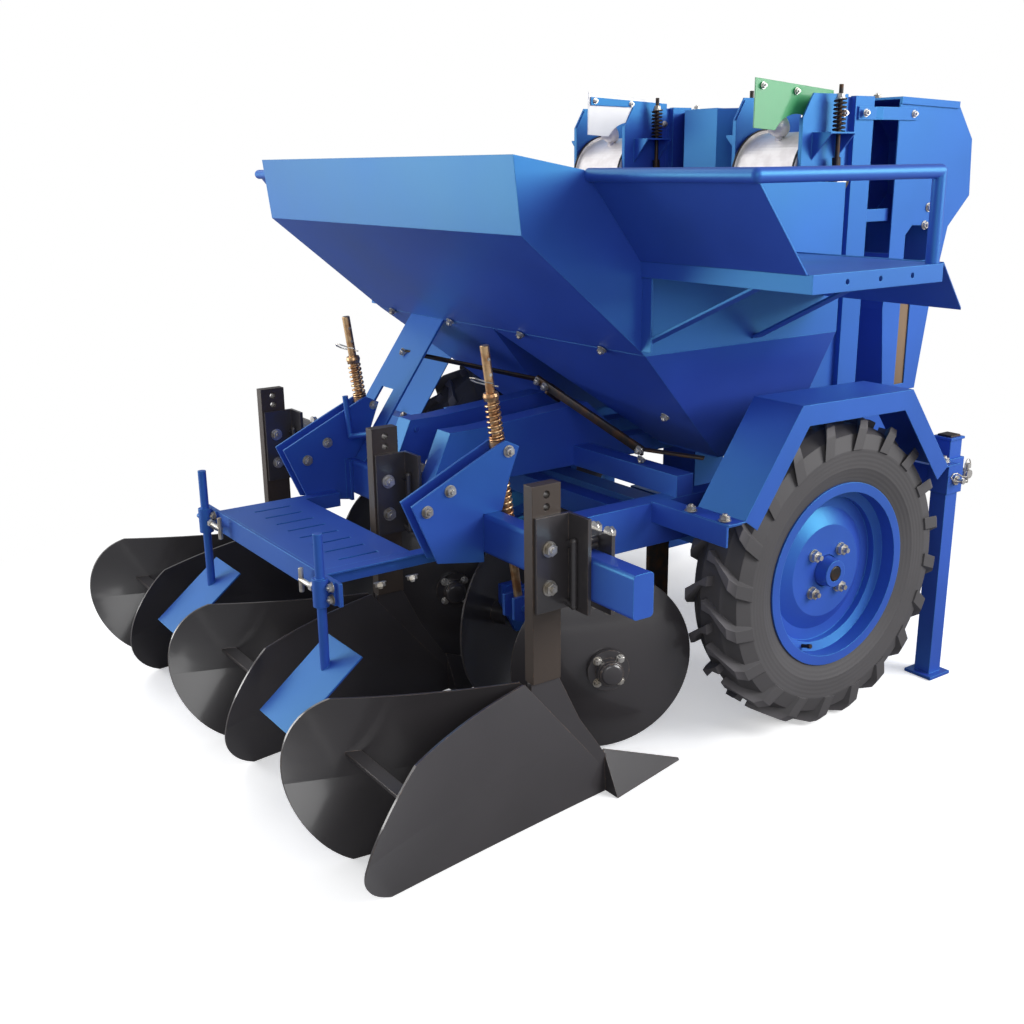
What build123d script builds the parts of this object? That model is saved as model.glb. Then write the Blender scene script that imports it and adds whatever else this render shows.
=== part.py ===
from build123d import *
import os
from math import atan2, cos, radians, sin, sqrt

# Two-row potato planter, a mounted machine that parks on two wheels, two legs and its ridgers.
# Lengths are in mm. X points to the right, Y forward in the travel direction, Z up from the ground.
# Everything is drawn from the wheel axle (y = 0); save() then moves it by axle_y, so that the
# origin lies on the ground under the middle of the machine.

# Rows, wheels and overall reach
ridge_pitch = 638
row_x = ridge_pitch / 2
wheel_x = ridge_pitch
front_reach = 808
rear_reach = 1308
axle_y = (rear_reach - front_reach) / 2
sheet = 3
plate = 8

# Tyre, rim and hub
tyre_radius = 370
tyre_width = 160
carcass_radius = 350
lug_count = 20
lug_width = 24
bead_radius = 203
flange_radius = 221
rim_width = 132
rim_sheet = 5
disc_sheet = 7
hub_radius = 38
hub_flange_radius = 84
spindle_radius = 19
bearing_gap = 0.15
bead_gap = 0.2
wheel_bolt_pcd = 130
wheel_bolt_radius = 7
axle_z = tyre_radius

# Frame
toolbar_half = 847
toolbar_rear = -753
toolbar_depth = 50
toolbar_low = 478
toolbar_high = 90
rail_x = 475
rail_width = 50
rail_high = 100
beam_x = 92
beam_width = 56
cross_size = 50
front_cross_rear = 560
front_cross_depth = 60
axle_tube = 70
hanger_y = -355

# Three-point hitch, category 2
lower_link_x = 412
lower_link_y = 770
lower_link_z = 450
link_pin_radius = 14.35
link_pin_free = 75
link_pin_tip = 17
link_pin_step = 2
link_collar = 27
linch_radius = 5.5
link_washer = 4
hitch_plate = 14
mast_height = 610
top_pin_radius = 12.7
mast_gap = 54
mast_depth = 76

# Hopper and troughs
hopper_half = 565
hopper_rear = -817
hopper_rear_top = 1316
hopper_fold = (-800, 1170)
hopper_seam = (-489, 914)
hopper_front = 100
hopper_front_top = 1250
hopper_side_break = (-654, 1287)
trough_floor = 620
trough_half = 105
trough_rear = -132

# Picking units: the casing of the rising belt, its top drum and the duct that leads down
leg_front = 330
leg_top = 1442
drum_drop = 187
drum_z = leg_top - drum_drop
drum_y = 200
drum_radius = 105
belt_width = 190
belt_thick = 5
cup_radius = 31
shaft_radius = 17
duct_half = 131
duct_rear = 420
duct_foot = 710
boot_half, boot_wall = 75, 4
boot_rear = 437

# Side trays and their rails
tray_outer = 1014
tray_rear = -505
tray_front = -145
tray_top = 1110
tray_lip = 34
apron_front, apron_low, apron_outer = 50, 1000, 925
rail_pipe = 13
rail_top = 1277

# Soil tools
shank_thick = 28
shank_depth = 68
shank_rear = -842
shank_top = 710
disc_radius = 210
disc_dish = 40
disc_offset = 221
disc_y = -560
disc_z = 222
disc_angle = 22
disc_pivot_z = 290
cross_bar_y = -575
cross_bar_z = 300
rod_radius = 10
ear_thick = 6
ear_gap = 40

# Stand legs
stand_x = 670
stand_y = 422
stand_tube = 45
stand_top = 632
stand_gap = 0.3
sleeve_wall = 6

toolbar_front = toolbar_rear + toolbar_depth
toolbar_top = toolbar_low + toolbar_high
rail_top_z = toolbar_top
rail_low_z = rail_top_z - rail_high
shank_front = shank_rear + shank_depth
front_cross_front = front_cross_rear + front_cross_depth
SIDES = (("left", -1), ("right", 1))
UPWARD = (Align.CENTER, Align.CENTER, Align.MIN)

os.makedirs("parts", exist_ok=True)


def save(name, *shapes):
    """Write one sub-part, moved from the axle to the machine's own origin."""
    solids = []
    for shape in shapes:
        solids.extend(shape.solids())
    moved = [Pos(0, axle_y, 0) * solid for solid in solids]
    export_step(moved[0] if len(moved) == 1 else Compound(moved), f"parts/{name}.step")


def block(x0, x1, y0, y1, z0, z1):
    """A box between two corners."""
    middle = Pos((x0 + x1) / 2, (y0 + y1) / 2, (z0 + z1) / 2)
    return middle * Box(abs(x1 - x0), abs(y1 - y0), abs(z1 - z0))


def side_prism(points, x0, x1):
    """An outline of (y, z) points, drawn out along X."""
    face = Plane.YZ * Polygon(*points, align=None)
    return extrude(Pos(x0, 0, 0) * face, x1 - x0, dir=(1, 0, 0))


def plan_prism(points, z0, z1):
    """An outline of (x, y) points, drawn out along Z."""
    return extrude(Pos(0, 0, z0) * Polygon(*points, align=None), z1 - z0, dir=(0, 0, 1))


def inset(points, gap):
    """A closed outline drawn in by gap, with its corners kept sharp."""
    near = []
    turn = sum(a[0] * b[1] - b[0] * a[1] for a, b in zip(points, points[1:] + points[:1]))
    sign = 1 if turn > 0 else -1
    for i, (u, v) in enumerate(points):
        normals = []
        for a, b in ((points[i - 1], points[i]), (points[i], points[(i + 1) % len(points)])):
            du, dv = b[0] - a[0], b[1] - a[1]
            size = sqrt(du * du + dv * dv)
            normals.append((-dv / size * sign, du / size * sign))
        nu = (normals[0][0] + normals[1][0]) / 2
        nv = (normals[0][1] + normals[1][1]) / 2
        scale = gap / (nu * nu + nv * nv)
        near.append((u + nu * scale, v + nv * scale))
    return near


def band(points, thick):
    """The outline of a bent sheet: the given line and its parallel on the left, mitred."""
    far = []
    for i, (u, v) in enumerate(points):
        normals = []
        for a, b in ((i - 1, i), (i, i + 1)):
            if a >= 0 and b < len(points):
                du = points[b][0] - points[a][0]
                dv = points[b][1] - points[a][1]
                size = sqrt(du * du + dv * dv)
                normals.append((-dv / size, du / size))
        nu = sum(n[0] for n in normals) / len(normals)
        nv = sum(n[1] for n in normals) / len(normals)
        scale = thick / (nu * nu + nv * nv)
        far.append((u + nu * scale, v + nv * scale))
    return list(points) + far[::-1]


def rod(start, end, radius):
    """A round bar between two points."""
    a, b = Vector(*start), Vector(*end)
    return extrude(Plane(origin=a, z_dir=b - a) * Circle(radius), (b - a).length)


def flat_bar(start, end, wide_dir, width, thick):
    """A flat bar between two points, its width along wide_dir."""
    a, b = Vector(*start), Vector(*end)
    along = b - a
    return extrude(Plane(origin=a, x_dir=wide_dir, z_dir=along) * Rectangle(width, thick), along.length)


def bore_x(x0, x1, y, z, radius):
    """A round cutter along X."""
    return rod((x0, y, z), (x1, y, z), radius)


def turned(points, x):
    """A closed outline of (x, radius) points, turned about the wheel axle at height axle_z."""
    face = Plane.XZ * Polygon(*points, align=None)
    return Pos(x, 0, axle_z) * revolve(face, Axis.X)


def mirrored(shape, side):
    """The right-hand shape as it is, or its left-hand mirror image."""
    return shape if side > 0 else mirror(shape, Plane.YZ)


def tyre():
    """A ribbed field tyre: a hollow carcass and two staggered rows of slanted lugs."""
    half = tyre_width / 2
    bead = rim_width / 2 - rim_sheet
    seat = bead_radius + bead_gap
    right = [(30, carcass_radius), (half - 14, 334), (half - 4, 300), (half - 7, 256),
             (bead, flange_radius), (bead, seat), (bead - 14, seat), (bead - 10, 228),
             (half - 20, 262), (half - 17, 300), (half - 28, 322)]
    section = right + [(-x, r) for x, r in right[::-1]]
    body = turned(section, 0)
    crown = [(-6, tyre_radius), (half - 16, tyre_radius - 5), (half - 4, 348), (half, 300), (half - 7, 298),
             (half - 18, 322), (half - 40, 334), (-6, 334)]
    ring = turned(crown, 0)
    reach = half + 4
    slant = 62
    outline = [(-6, 0), (reach, -slant), (reach, -slant - lug_width * 1.35), (20, -lug_width - 4),
               (-6, -lug_width)]
    bar = Pos(0, 0, axle_z) * plan_prism(outline, 280, tyre_radius + 10)
    lug = bar & ring
    lugs = []
    for i in range(lug_count):
        turn = 360 / lug_count * i
        right = Rot(turn, 0, 0) * Pos(0, 0, -axle_z) * lug
        other = mirror(Rot(turn + 180 / lug_count, 0, 0) * Pos(0, 0, -axle_z) * lug, Plane.YZ)
        lugs.extend([Pos(0, 0, axle_z) * right, Pos(0, 0, axle_z) * other])
    return body.fuse(*lugs)


def rim():
    """The well rim with its flanges, and the dished disc that bolts to the hub."""
    half = rim_width / 2
    well = [(-half, flange_radius), (-half, bead_radius - 5), (-30, bead_radius - 5), (-22, 178), (22, 178),
            (30, bead_radius - 5), (half, bead_radius - 5), (half, flange_radius)]
    outer = [(half - rim_sheet, flange_radius), (half - rim_sheet, bead_radius), (27, bead_radius), (19, 183),
             (-19, 183), (-27, bead_radius), (-half + rim_sheet, bead_radius),
             (-half + rim_sheet, flange_radius)]
    ring = turned(well + outer, 0)
    disc_line = [(4, 178), (4, 150), (26, 112), (26, hub_radius + 1)]
    inner_line = [(x - disc_sheet, r) for x, r in disc_line]
    inner_line[1] = (4 - disc_sheet, 146)
    inner_line[2] = (26 - disc_sheet, 108)
    body = ring + turned(disc_line + inner_line[::-1], 0)
    for i in range(4):
        turn = radians(45 + 90 * i)
        y = wheel_bolt_pcd / 2 * cos(turn)
        z = axle_z + wheel_bolt_pcd / 2 * sin(turn)
        body -= bore_x(10, 30, y, z, wheel_bolt_radius)
    return body


def wheel_hub():
    """The hub barrel with its flange, four studs with nuts, and an open outer end."""
    back = 26 - disc_sheet
    bore = spindle_radius + bearing_gap
    barrel = [(-70, bore), (-70, hub_radius), (back - 12, hub_radius + 4), (back - 12, hub_flange_radius),
              (back, hub_flange_radius), (back, hub_radius), (56, hub_radius - 6), (56, bore)]
    body = turned(barrel, 0)
    for i in range(4):
        turn = radians(45 + 90 * i)
        y = wheel_bolt_pcd / 2 * cos(turn)
        z = axle_z + wheel_bolt_pcd / 2 * sin(turn)
        nut = Plane(origin=(26, y, z), z_dir=(1, 0, 0)) * RegularPolygon(12, 6)
        body += bore_x(back - 2, 44, y, z, wheel_bolt_radius - 0.5)
        body += extrude(nut, 11)
    return body


# Both tyres are alike, so that their lugs point the same way; rims and hubs are mirror images
one_tyre, one_rim, one_hub = tyre(), rim(), wheel_hub()
for side_name, side in SIDES:
    save(f"tyre_{side_name}", Pos(side * wheel_x, 0, 0) * one_tyre)
    save(f"rim_{side_name}", mirrored(Pos(wheel_x, 0, 0) * one_rim, side))
    save(f"wheel_hub_{side_name}", mirrored(Pos(wheel_x, 0, 0) * one_hub, side))


def pair(shape):
    """A right-hand piece and its mirror image."""
    return [shape, mirror(shape, Plane.YZ)]


# Frame tubes
toolbar = block(-toolbar_half, toolbar_half, toolbar_rear, toolbar_front, toolbar_low, toolbar_top)
save("toolbar", fillet(toolbar.edges().filter_by(Axis.X), 9))

rail = block(rail_x - rail_width / 2, rail_x + rail_width / 2, toolbar_front, front_cross_rear,
             rail_low_z, rail_top_z)
save("side_rails", *pair(rail))

beam_top = rail_top_z + cross_size
beam_side = [(toolbar_rear, toolbar_top), (-693, 700), (-613, 700), (-288, 724), (-160, beam_top),
             (front_cross_front, beam_top), (front_cross_front, toolbar_top)]
beam = side_prism(beam_side, beam_x - beam_width / 2, beam_x + beam_width / 2)
save("centre_beams", *pair(beam))

# Cross tubes: two on top of the rails, broken at the centre beams, and one between the rails
rail_out = rail_x + rail_width / 2
rail_in = rail_x - rail_width / 2
beam_in = beam_x - beam_width / 2
beam_out = beam_x + beam_width / 2
upper_y = (-330, 200)
cross = []
for y in upper_y:
    for x0, x1 in ((-rail_out, -beam_out), (-beam_in, beam_in), (beam_out, rail_out)):
        cross.append(block(x0, x1, y, y + cross_size, rail_top_z, rail_top_z + cross_size))
low_cross_y = hanger_y - cross_size / 2
cross.append(block(-rail_in, rail_in, low_cross_y, low_cross_y + cross_size,
                   rail_low_z, rail_low_z + cross_size))
front_cross = block(-rail_out, rail_out, front_cross_rear, front_cross_front, rail_low_z, rail_top_z)
save("cross_tubes", *cross, front_cross)

# Axle: a cross beam hung from the rails on two blocks, with a spindle at each end
axle_top = axle_z + axle_tube / 2
axle_half = wheel_x - 110
axle_beam = block(-axle_half, axle_half, -axle_tube / 2, axle_tube / 2, axle_z - axle_tube / 2, axle_top)
for x in (-rail_x, rail_x):
    axle_beam += block(x - rail_width / 2, x + rail_width / 2, -60, 60, axle_top, rail_low_z)
spindle = rod((axle_half, 0, axle_z), (wheel_x + 46, 0, axle_z), spindle_radius)
spindle += rod((axle_half, 0, axle_z), (wheel_x - 72, 0, axle_z), spindle_radius + 10)
save("axle", axle_beam + spindle + mirror(spindle, Plane.YZ))

# Hitch: side plates with stub pins for the lower links, and the mast with its two stays
plate_side = [(front_cross_front, rail_top_z), (front_cross_front, rail_low_z - 40), (700, 400),
              (front_reach, 400), (front_reach, 495), (720, 520)]
ear_x = lower_link_x - hitch_plate
ear = side_prism(plate_side, ear_x, lower_link_x)
pin_core = link_pin_radius - link_pin_step
ear -= bore_x(ear_x - 1, lower_link_x + 1, lower_link_y, lower_link_z, pin_core)
gusset = block(ear_x - 60, ear_x, front_cross_front, front_cross_front + hitch_plate, rail_low_z, rail_top_z)
save("hitch_plates", *pair(ear), *pair(gusset))
free_start = lower_link_x + link_washer
free_end = free_start + link_pin_free
pin = bore_x(ear_x - hitch_plate, free_end + link_pin_tip, lower_link_y, lower_link_z, pin_core)
pin += bore_x(free_start, free_end, lower_link_y, lower_link_z, link_pin_radius)
pin += bore_x(lower_link_x, free_start, lower_link_y, lower_link_z, link_collar)
pin += bore_x(ear_x - hitch_plate - 10, ear_x, lower_link_y, lower_link_z, link_collar)
linch_x = free_end + link_pin_tip / 2
linch_foot = (linch_x, lower_link_y, lower_link_z - link_collar)
linch_head = (linch_x, lower_link_y, lower_link_z + link_collar)
pin -= rod(linch_foot, linch_head, linch_radius)
save("hitch_pins", *pair(pin))
mast_z = lower_link_z + mast_height
mast_y = lower_link_y
mast_side = [(front_cross_front, rail_low_z), (front_cross_front + mast_depth, rail_low_z),
             (mast_y + mast_depth / 2, mast_z - 20), (mast_y + mast_depth / 2, mast_z + 35),
             (mast_y - mast_depth / 2, mast_z + 35), (mast_y - mast_depth / 2, mast_z - 20),
             (front_cross_front, rail_top_z + 60)]
mast = side_prism(mast_side, mast_gap / 2, mast_gap / 2 + hitch_plate)
mast -= bore_x(mast_gap / 2 - 1, mast_gap / 2 + hitch_plate + 1, mast_y, mast_z, top_pin_radius)
save("hitch_mast", *pair(mast))
stay_start = (mast_gap / 2 + hitch_plate + 5, mast_y - 10, mast_z - 55)
stay = flat_bar(stay_start, (beam_out - 20, 240, beam_top), (0, 1, 1), 50, 10)
save("mast_stays", *pair(stay - beam - mast))

# Ridgers: shank, share, frog and two curved mouldboards with a brace between them
frog_thick = 14
wing_sheet = 5
wing_top = 305
wing_round_top = -1203
wing_round_z = 145
wing_round_low = -1215
# Columns: height, front y, front x, rear x, bow of the plate
wing_rows = [(0, -609, 6, 93, 4), (150, -732, 8, 178, 14), (wing_top, -860, 10, 246, 24)]


def wing():
    """One mouldboard: bowed plates at three heights, lofted, then trimmed to its side outline."""
    faces = []
    for z, front_y, front_x, rear_x, bow in wing_rows:
        a = Vector(front_x, front_y, z)
        b = Vector(rear_x, -rear_reach - 4, z)
        out = Vector(-(b.Y - a.Y), b.X - a.X, 0).normalized()
        m = (a + b) * 0.5 - out * bow
        shift = out * wing_sheet
        edges = [ThreePointArc(a, m, b), Line(b, b - shift), ThreePointArc(b - shift, m - shift, a - shift),
                 Line(a - shift, a)]
        faces.append(make_face(Wire(edges)))
    plate_body = loft(faces, ruled=True)
    high_end, low_end = (wing_round_top, wing_top), (wing_round_low, 0)
    outline = [Line((-600, 0), (-852, wing_top)), Line((-852, wing_top), high_end),
               ThreePointArc(high_end, (-rear_reach, wing_round_z), low_end), Line(low_end, (-600, 0))]
    trim_face = Plane.YZ * make_face(Wire(outline))
    return plate_body & extrude(Pos(-20, 0, 0) * trim_face, 300, dir=(1, 0, 0))


def ridger():
    """One ridging body, drawn on the machine's centre line."""
    frog_side = [(-590, 0), (-720, 190), (shank_front, 300), (shank_rear, 300), (shank_rear, 70), (-760, 0)]
    body = side_prism(frog_side, -frog_thick / 2, frog_thick / 2)
    across = (1, 0, 0)
    tip_plane = Plane(origin=(0, -430, 0), x_dir=across, z_dir=(0, -1, 0))
    heel_plane = Plane(origin=(0, -650, 0), x_dir=across, z_dir=(0, -1, 0))
    tip = tip_plane * make_face(Polyline((-4, 0), (4, 0), (0, 5), close=True))
    heel = heel_plane * make_face(Polyline((-52, 0), (52, 0), (0, 96), close=True))
    body += loft([tip, heel], ruled=True)
    side = wing()
    body += side
    body += mirror(side, Plane.YZ)
    brace = block(-185, 185, -1190, -1160, 190, 197)
    core = loft_space()
    return body + (brace & core)


def loft_space():
    """The space between the two mouldboards, which the brace fills from side to side."""
    faces = []
    for z, front_y, front_x, rear_x, bow in wing_rows:
        a = Vector(front_x, front_y, z)
        b = Vector(rear_x, -rear_reach - 4, z)
        out = Vector(-(b.Y - a.Y), b.X - a.X, 0).normalized()
        m = (a + b) * 0.5 - out * bow
        a2, b2, m2 = (Vector(-p.X, p.Y, p.Z) for p in (a, b, m))
        edges = [ThreePointArc(a, m, b), Line(b, b2), ThreePointArc(b2, m2, a2), Line(a2, a)]
        faces.append(make_face(Wire(edges)))
    return loft(faces, ruled=True)


angle_low, angle_high = 452, 648
clamp_low, clamp_high = 440, 605
ridge_places = (("left", -ridge_pitch), ("centre", 0), ("right", ridge_pitch))
one_ridger = ridger()
shanks, clamps = [], []
for name, x in ridge_places:
    save(f"ridger_{name}", Pos(x, 0, 0) * one_ridger)
    shank = block(x - shank_thick / 2, x + shank_thick / 2, shank_rear, shank_front, 300, shank_top)
    for z in (690, 665, 640):
        shank -= bore_x(x - 20, x + 20, (shank_rear + shank_front) / 2, z, 8)
    shanks.append(shank)
    inner = x + shank_thick / 2
    angle_plan = [(inner, shank_rear + 4), (inner + plate, shank_rear + 4),
                  (inner + plate, toolbar_rear - plate), (inner + 70, toolbar_rear - plate),
                  (inner + 70, toolbar_rear), (inner, toolbar_rear)]
    clamps.append(plan_prism(angle_plan, angle_low, angle_high))
    front_clamp = block(x - 45, x + 85, toolbar_front, toolbar_front + plate, clamp_low, clamp_high)
    clamps.append(front_clamp - beam - mirror(beam, Plane.YZ) - rail - mirror(rail, Plane.YZ))
save("ridger_shanks", *shanks)
save("ridger_clamps", *clamps)

# Ear brackets on the toolbar that guide the sprung rods of the disc arms
ear_side = [(toolbar_rear, 458), (-871, 478), (-930, 615), (-775, 687), (-692, 724), (-655, 706),
            (-682, 640), (toolbar_front, toolbar_top), (toolbar_rear, toolbar_top)]
ears = []
for inner in (row_x - ear_gap / 2 - ear_thick, row_x + ear_gap / 2):
    ears.append(side_prism(ear_side, inner, inner + ear_thick))
flange = block(row_x - 52, row_x - ear_gap / 2 - ear_thick, toolbar_rear - plate, toolbar_rear,
               462, toolbar_top)
ear_nodes = []
for piece in ears + [flange]:
    ear_nodes += pair(piece)
save("ear_brackets", *ear_nodes)

# Sprung rods: rod, collars and two springs drawn as stacked rings, from the top end down to the disc arm.
# Stations are measured along the rod from its top end.
rod_top = Vector(row_x, -725, 931)
rod_low = Vector(row_x, -643, 336)
rod_dir = (rod_low - rod_top).normalized()
rod_length = (rod_low - rod_top).length
rod_plane = Plane(origin=rod_top, x_dir=(1, 0, 0), z_dir=rod_dir)
spring_radius = 17
wire = 4
clip_holes = (30, 64)
collar_start, upper_start, upper_end = 112, 122, 208
trunnion = 226
lower_start, lower_end, foot_collar = 244, 400, 8


def spring_rings(start, end, radius=spring_radius, thick=wire):
    """A spring as a tube with one round ring for each turn of wire."""
    body = Pos(0, 0, start) * Cylinder(radius - thick, end - start, align=UPWARD)
    count = round((end - start) / (3 * thick))
    pitch = (end - start) / count
    for i in range(count):
        body += Pos(0, 0, start + pitch * (i + 0.5) - thick / 2) * Cylinder(radius, thick, align=UPWARD)
    return body


def sprung_rod():
    """One rod with its collar and springs, along local Z from its top end."""
    body = Cylinder(rod_radius, rod_length, align=UPWARD)
    body += Pos(0, 0, collar_start) * Cylinder(spring_radius, upper_start - collar_start, align=UPWARD)
    body += spring_rings(upper_start, upper_end)
    body += spring_rings(lower_start, lower_end)
    body += Pos(0, 0, lower_end) * Cylinder(spring_radius, foot_collar, align=UPWARD)
    for station in clip_holes:
        body -= Pos(0, 0, station) * Cylinder(3.5, 40, rotation=(0, 90, 0))
    body += Pos(0, 0, trunnion) * Box(ear_gap - 0.4, 30, 30)
    return rod_plane * body


save("sprung_rods", *pair(sprung_rod()))

# Covering discs, their arms and the hangers below the frame
hanger_x = (row_x - 150, row_x + 150)
hangers = []
for x in hanger_x:
    top = rail_low_z
    strap = block(x - 5, x + 5, hanger_y - 30, hanger_y + 30, disc_pivot_z - 34, top)
    strap -= bore_x(x - 6, x + 6, hanger_y, disc_pivot_z, 13.1)
    hangers += pair(strap)
save("disc_hangers", *hangers)

disc_bore = 12.15
disc_spindle = 12


def disc_plane(row_side, side):
    """The plane of a disc: origin at its hub, Z along its axle, away from the row."""
    x = row_side * row_x + side * disc_offset
    slant = radians(disc_angle)
    return Plane(origin=(x, disc_y, disc_z), z_dir=(side * cos(slant), -sin(slant), 0))


def covering_disc():
    """A dished disc with its hub, along local Z with the hollow side below."""
    sphere = (disc_radius ** 2 + disc_dish ** 2) / (2 * disc_dish)
    thin = 4
    outer = Pos(0, 0, -sphere) * Sphere(sphere)
    inner = Pos(0, 0, -sphere) * Sphere(sphere - thin)
    keep = Pos(0, 0, -disc_dish / 2 - 2) * Cylinder(disc_radius, disc_dish + 8)
    dish = (outer - inner) & keep
    hub = Pos(0, 0, -46) * Cylinder(30, 50, align=UPWARD)
    hub += Cylinder(48, 11, align=UPWARD)
    hub += Pos(0, 0, 11) * Cylinder(30, 18, align=UPWARD)
    for i in range(4):
        turn = radians(45 + 90 * i)
        hub += Pos(37 * cos(turn), 37 * sin(turn), 11) * extrude(RegularPolygon(8, 6), 7)
    body = dish + hub
    return body - Pos(0, 0, -47) * Cylinder(disc_bore, 42, align=UPWARD)


one_disc = covering_disc()
for side_name, side in SIDES:
    for place_name, away in (("inner", -side), ("outer", side)):
        save(f"disc_{side_name}_{place_name}", disc_plane(side, away) * one_disc)


def disc_arm():
    """The right-hand arm: pivot bar, two trailing bars, cross bar, drop plates and a rod clevis."""
    body = rod((hanger_x[0] - 14, hanger_y, disc_pivot_z), (hanger_x[1] + 14, hanger_y, disc_pivot_z), 13)
    for x in (row_x - 95, row_x + 95):
        side_points = [(hanger_y + 28, disc_pivot_z - 22), (hanger_y + 28, disc_pivot_z + 22),
                       (cross_bar_y, cross_bar_z + 30), (cross_bar_y - 30, cross_bar_z + 14),
                       (cross_bar_y - 30, cross_bar_z - 24), (cross_bar_y, cross_bar_z - 30)]
        body += side_prism(side_points, x - 5, x + 5)
    body += rod((row_x - 146, cross_bar_y, cross_bar_z), (row_x + 146, cross_bar_y, cross_bar_z), 22)
    for x in (-1, 1):
        edge = row_x + x * 136
        drop_side = [(cross_bar_y - 28, cross_bar_z + 26), (cross_bar_y - 28, cross_bar_z - 20),
                     (disc_y, disc_z - 26), (disc_y + 55, disc_z - 26), (disc_y + 55, disc_z + 40),
                     (cross_bar_y + 28, cross_bar_z + 26)]
        body += side_prism(drop_side, edge - 7, edge + 7)
        frame_plane = disc_plane(1, x)
        body += frame_plane * Pos(0, 0, -96) * Cylinder(disc_spindle, 90, align=UPWARD)
        body += frame_plane * Pos(0, 0, -86) * Cylinder(20, 34, align=UPWARD)
    for x in (-1, 1):
        near = row_x + x * 19
        ear_points = [(cross_bar_y + 10, cross_bar_z - 30), (cross_bar_y + 10, cross_bar_z + 30), (-610, 352),
                      (-672, 352), (-672, 300), (-610, 272)]
        body += side_prism(ear_points, near - 4, near + 4)
    body += rod((row_x - 26, -643, 322), (row_x + 26, -643, 322), 8)
    return body


arm = disc_arm()
save("disc_arms", *pair(arm))

# Footboard, its side arms and rear beam
board_half = 262
board_z = 490
board_front, board_rear = -893, -1108
board = block(-board_half, board_half, board_rear, board_front, board_z - sheet, board_z)
board += block(-board_half, board_half, board_front - sheet, board_front, board_z - 26, board_z)
for i in range(8):
    board -= Pos(-board_half + 36 + i * 64, board_rear + 110, board_z) * Box(8, 95, 20)
save("footboard", board)
arm_angle = [(board_half, board_z), (board_half, board_z - 36), (board_half + 4, board_z - 36),
             (board_half + 4, board_z - 4), (row_x - ear_gap / 2 - ear_thick, board_z - 4),
             (row_x - ear_gap / 2 - ear_thick, board_z)]
board_arm = extrude(Plane.XZ * Polygon(*arm_angle, align=None), 312, dir=(0, 1, 0))
board_arm = Pos(0, board_rear, 0) * board_arm
rear_beam = block(-row_x - 45, row_x + 45, board_rear - plate, board_rear, board_z - 50, board_z)
save("footboard_frame", rear_beam + board_arm + mirror(board_arm, Plane.YZ))


def ridge_shaper():
    """The right-hand ridge shaper: a round rod in a socket, with a sloping plate below it."""
    y = board_rear - plate - 20
    body = rod((row_x, y, 262), (row_x, y, 590), 10)
    body += rod((row_x, y, board_z - 55), (row_x, y, board_z + 5), 17)
    body += block(row_x - 30, row_x + 30, board_rear - plate - 5, board_rear - plate, board_z - 50, board_z)
    body += rod((row_x - 48, y, board_z - 25), (row_x, y, board_z - 25), 6)
    slope = band([(y + 46, 338), (y - 120, 205)], 4)
    body += side_prism(slope, row_x - 78, row_x + 78)
    return body


shaper = ridge_shaper()
save("ridge_shapers", shaper, Pos(-2 * row_x, 0, 0) * shaper)

# Hopper: the upper tank with a sloping back, open above its two troughs
slope_run = hopper_seam[0] - hopper_fold[0]
tank_side = [(hopper_rear, hopper_rear_top), hopper_fold, hopper_seam, (hopper_front, hopper_seam[1]),
             (hopper_front, hopper_front_top), (-590, 1270), hopper_side_break]
slope_angle = atan2(hopper_fold[1] - hopper_seam[1], slope_run)
lift = sheet / cos(slope_angle)
inner_side = [(hopper_rear + sheet, hopper_rear_top + 5), (hopper_fold[0] + sheet, hopper_fold[1] + 1),
              (hopper_seam[0] + lift, hopper_seam[1]), (hopper_seam[0] + lift, hopper_seam[1] - 5),
              (hopper_front - sheet, hopper_seam[1] - 5), (hopper_front - sheet, hopper_rear_top + 5)]
tank = side_prism(tank_side, -hopper_half, hopper_half)
tank -= side_prism(inner_side, -hopper_half + sheet, hopper_half - sheet)
for x in (-row_x, row_x):
    tank -= block(x - trough_half, x + trough_half, hopper_front - 10, hopper_front + 10, 900, 1400)
save("hopper", tank)


def trough(shell):
    """The right-hand trough as a solid, drawn in by shell from its outer faces."""
    top = [(shell, hopper_seam[0] + shell), (hopper_half - shell, hopper_seam[0] + shell),
           (hopper_half - shell, hopper_front - shell), (shell, hopper_front - shell)]
    half = trough_half - shell
    low = [(row_x - half, trough_rear + shell), (row_x + half, trough_rear + shell),
           (row_x + half, hopper_front - shell), (row_x - half, hopper_front - shell)]
    high_face = Pos(0, 0, hopper_seam[1]) * Polygon(*top, align=None)
    low_face = Pos(0, 0, trough_floor) * Polygon(*low, align=None)
    return loft([low_face, high_face], ruled=True)


right_trough = trough(0) - trough(sheet)
right_trough += block(row_x - trough_half, row_x + trough_half, trough_rear, hopper_front, trough_floor - sheet,
                      trough_floor)
right_trough -= block(row_x - trough_half + sheet, row_x + trough_half - sheet,
                      hopper_front - 10, hopper_front + 10, trough_floor + 30, 950)
save("hopper_troughs", right_trough + mirror(right_trough, Plane.YZ))

# Hopper leg: a flanged plate on the left that leans from the toolbar to the hopper's sloping back
leg_half = 82
leg_line = [(toolbar_front - 30, toolbar_top - 10), (-478, hopper_seam[1] - 2)]
slant_leg = side_prism(band(leg_line, 6), row_x - leg_half, row_x + leg_half) - toolbar
slant_leg -= trough(0)
slant_leg -= side_prism(tank_side, 0, hopper_half)
notch_half = ear_gap / 2 + ear_thick + 5
slant_leg -= block(row_x - notch_half, row_x + notch_half, -900, -550, 400, 735)
save("hopper_leg", mirror(slant_leg, Plane.YZ))

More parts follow.
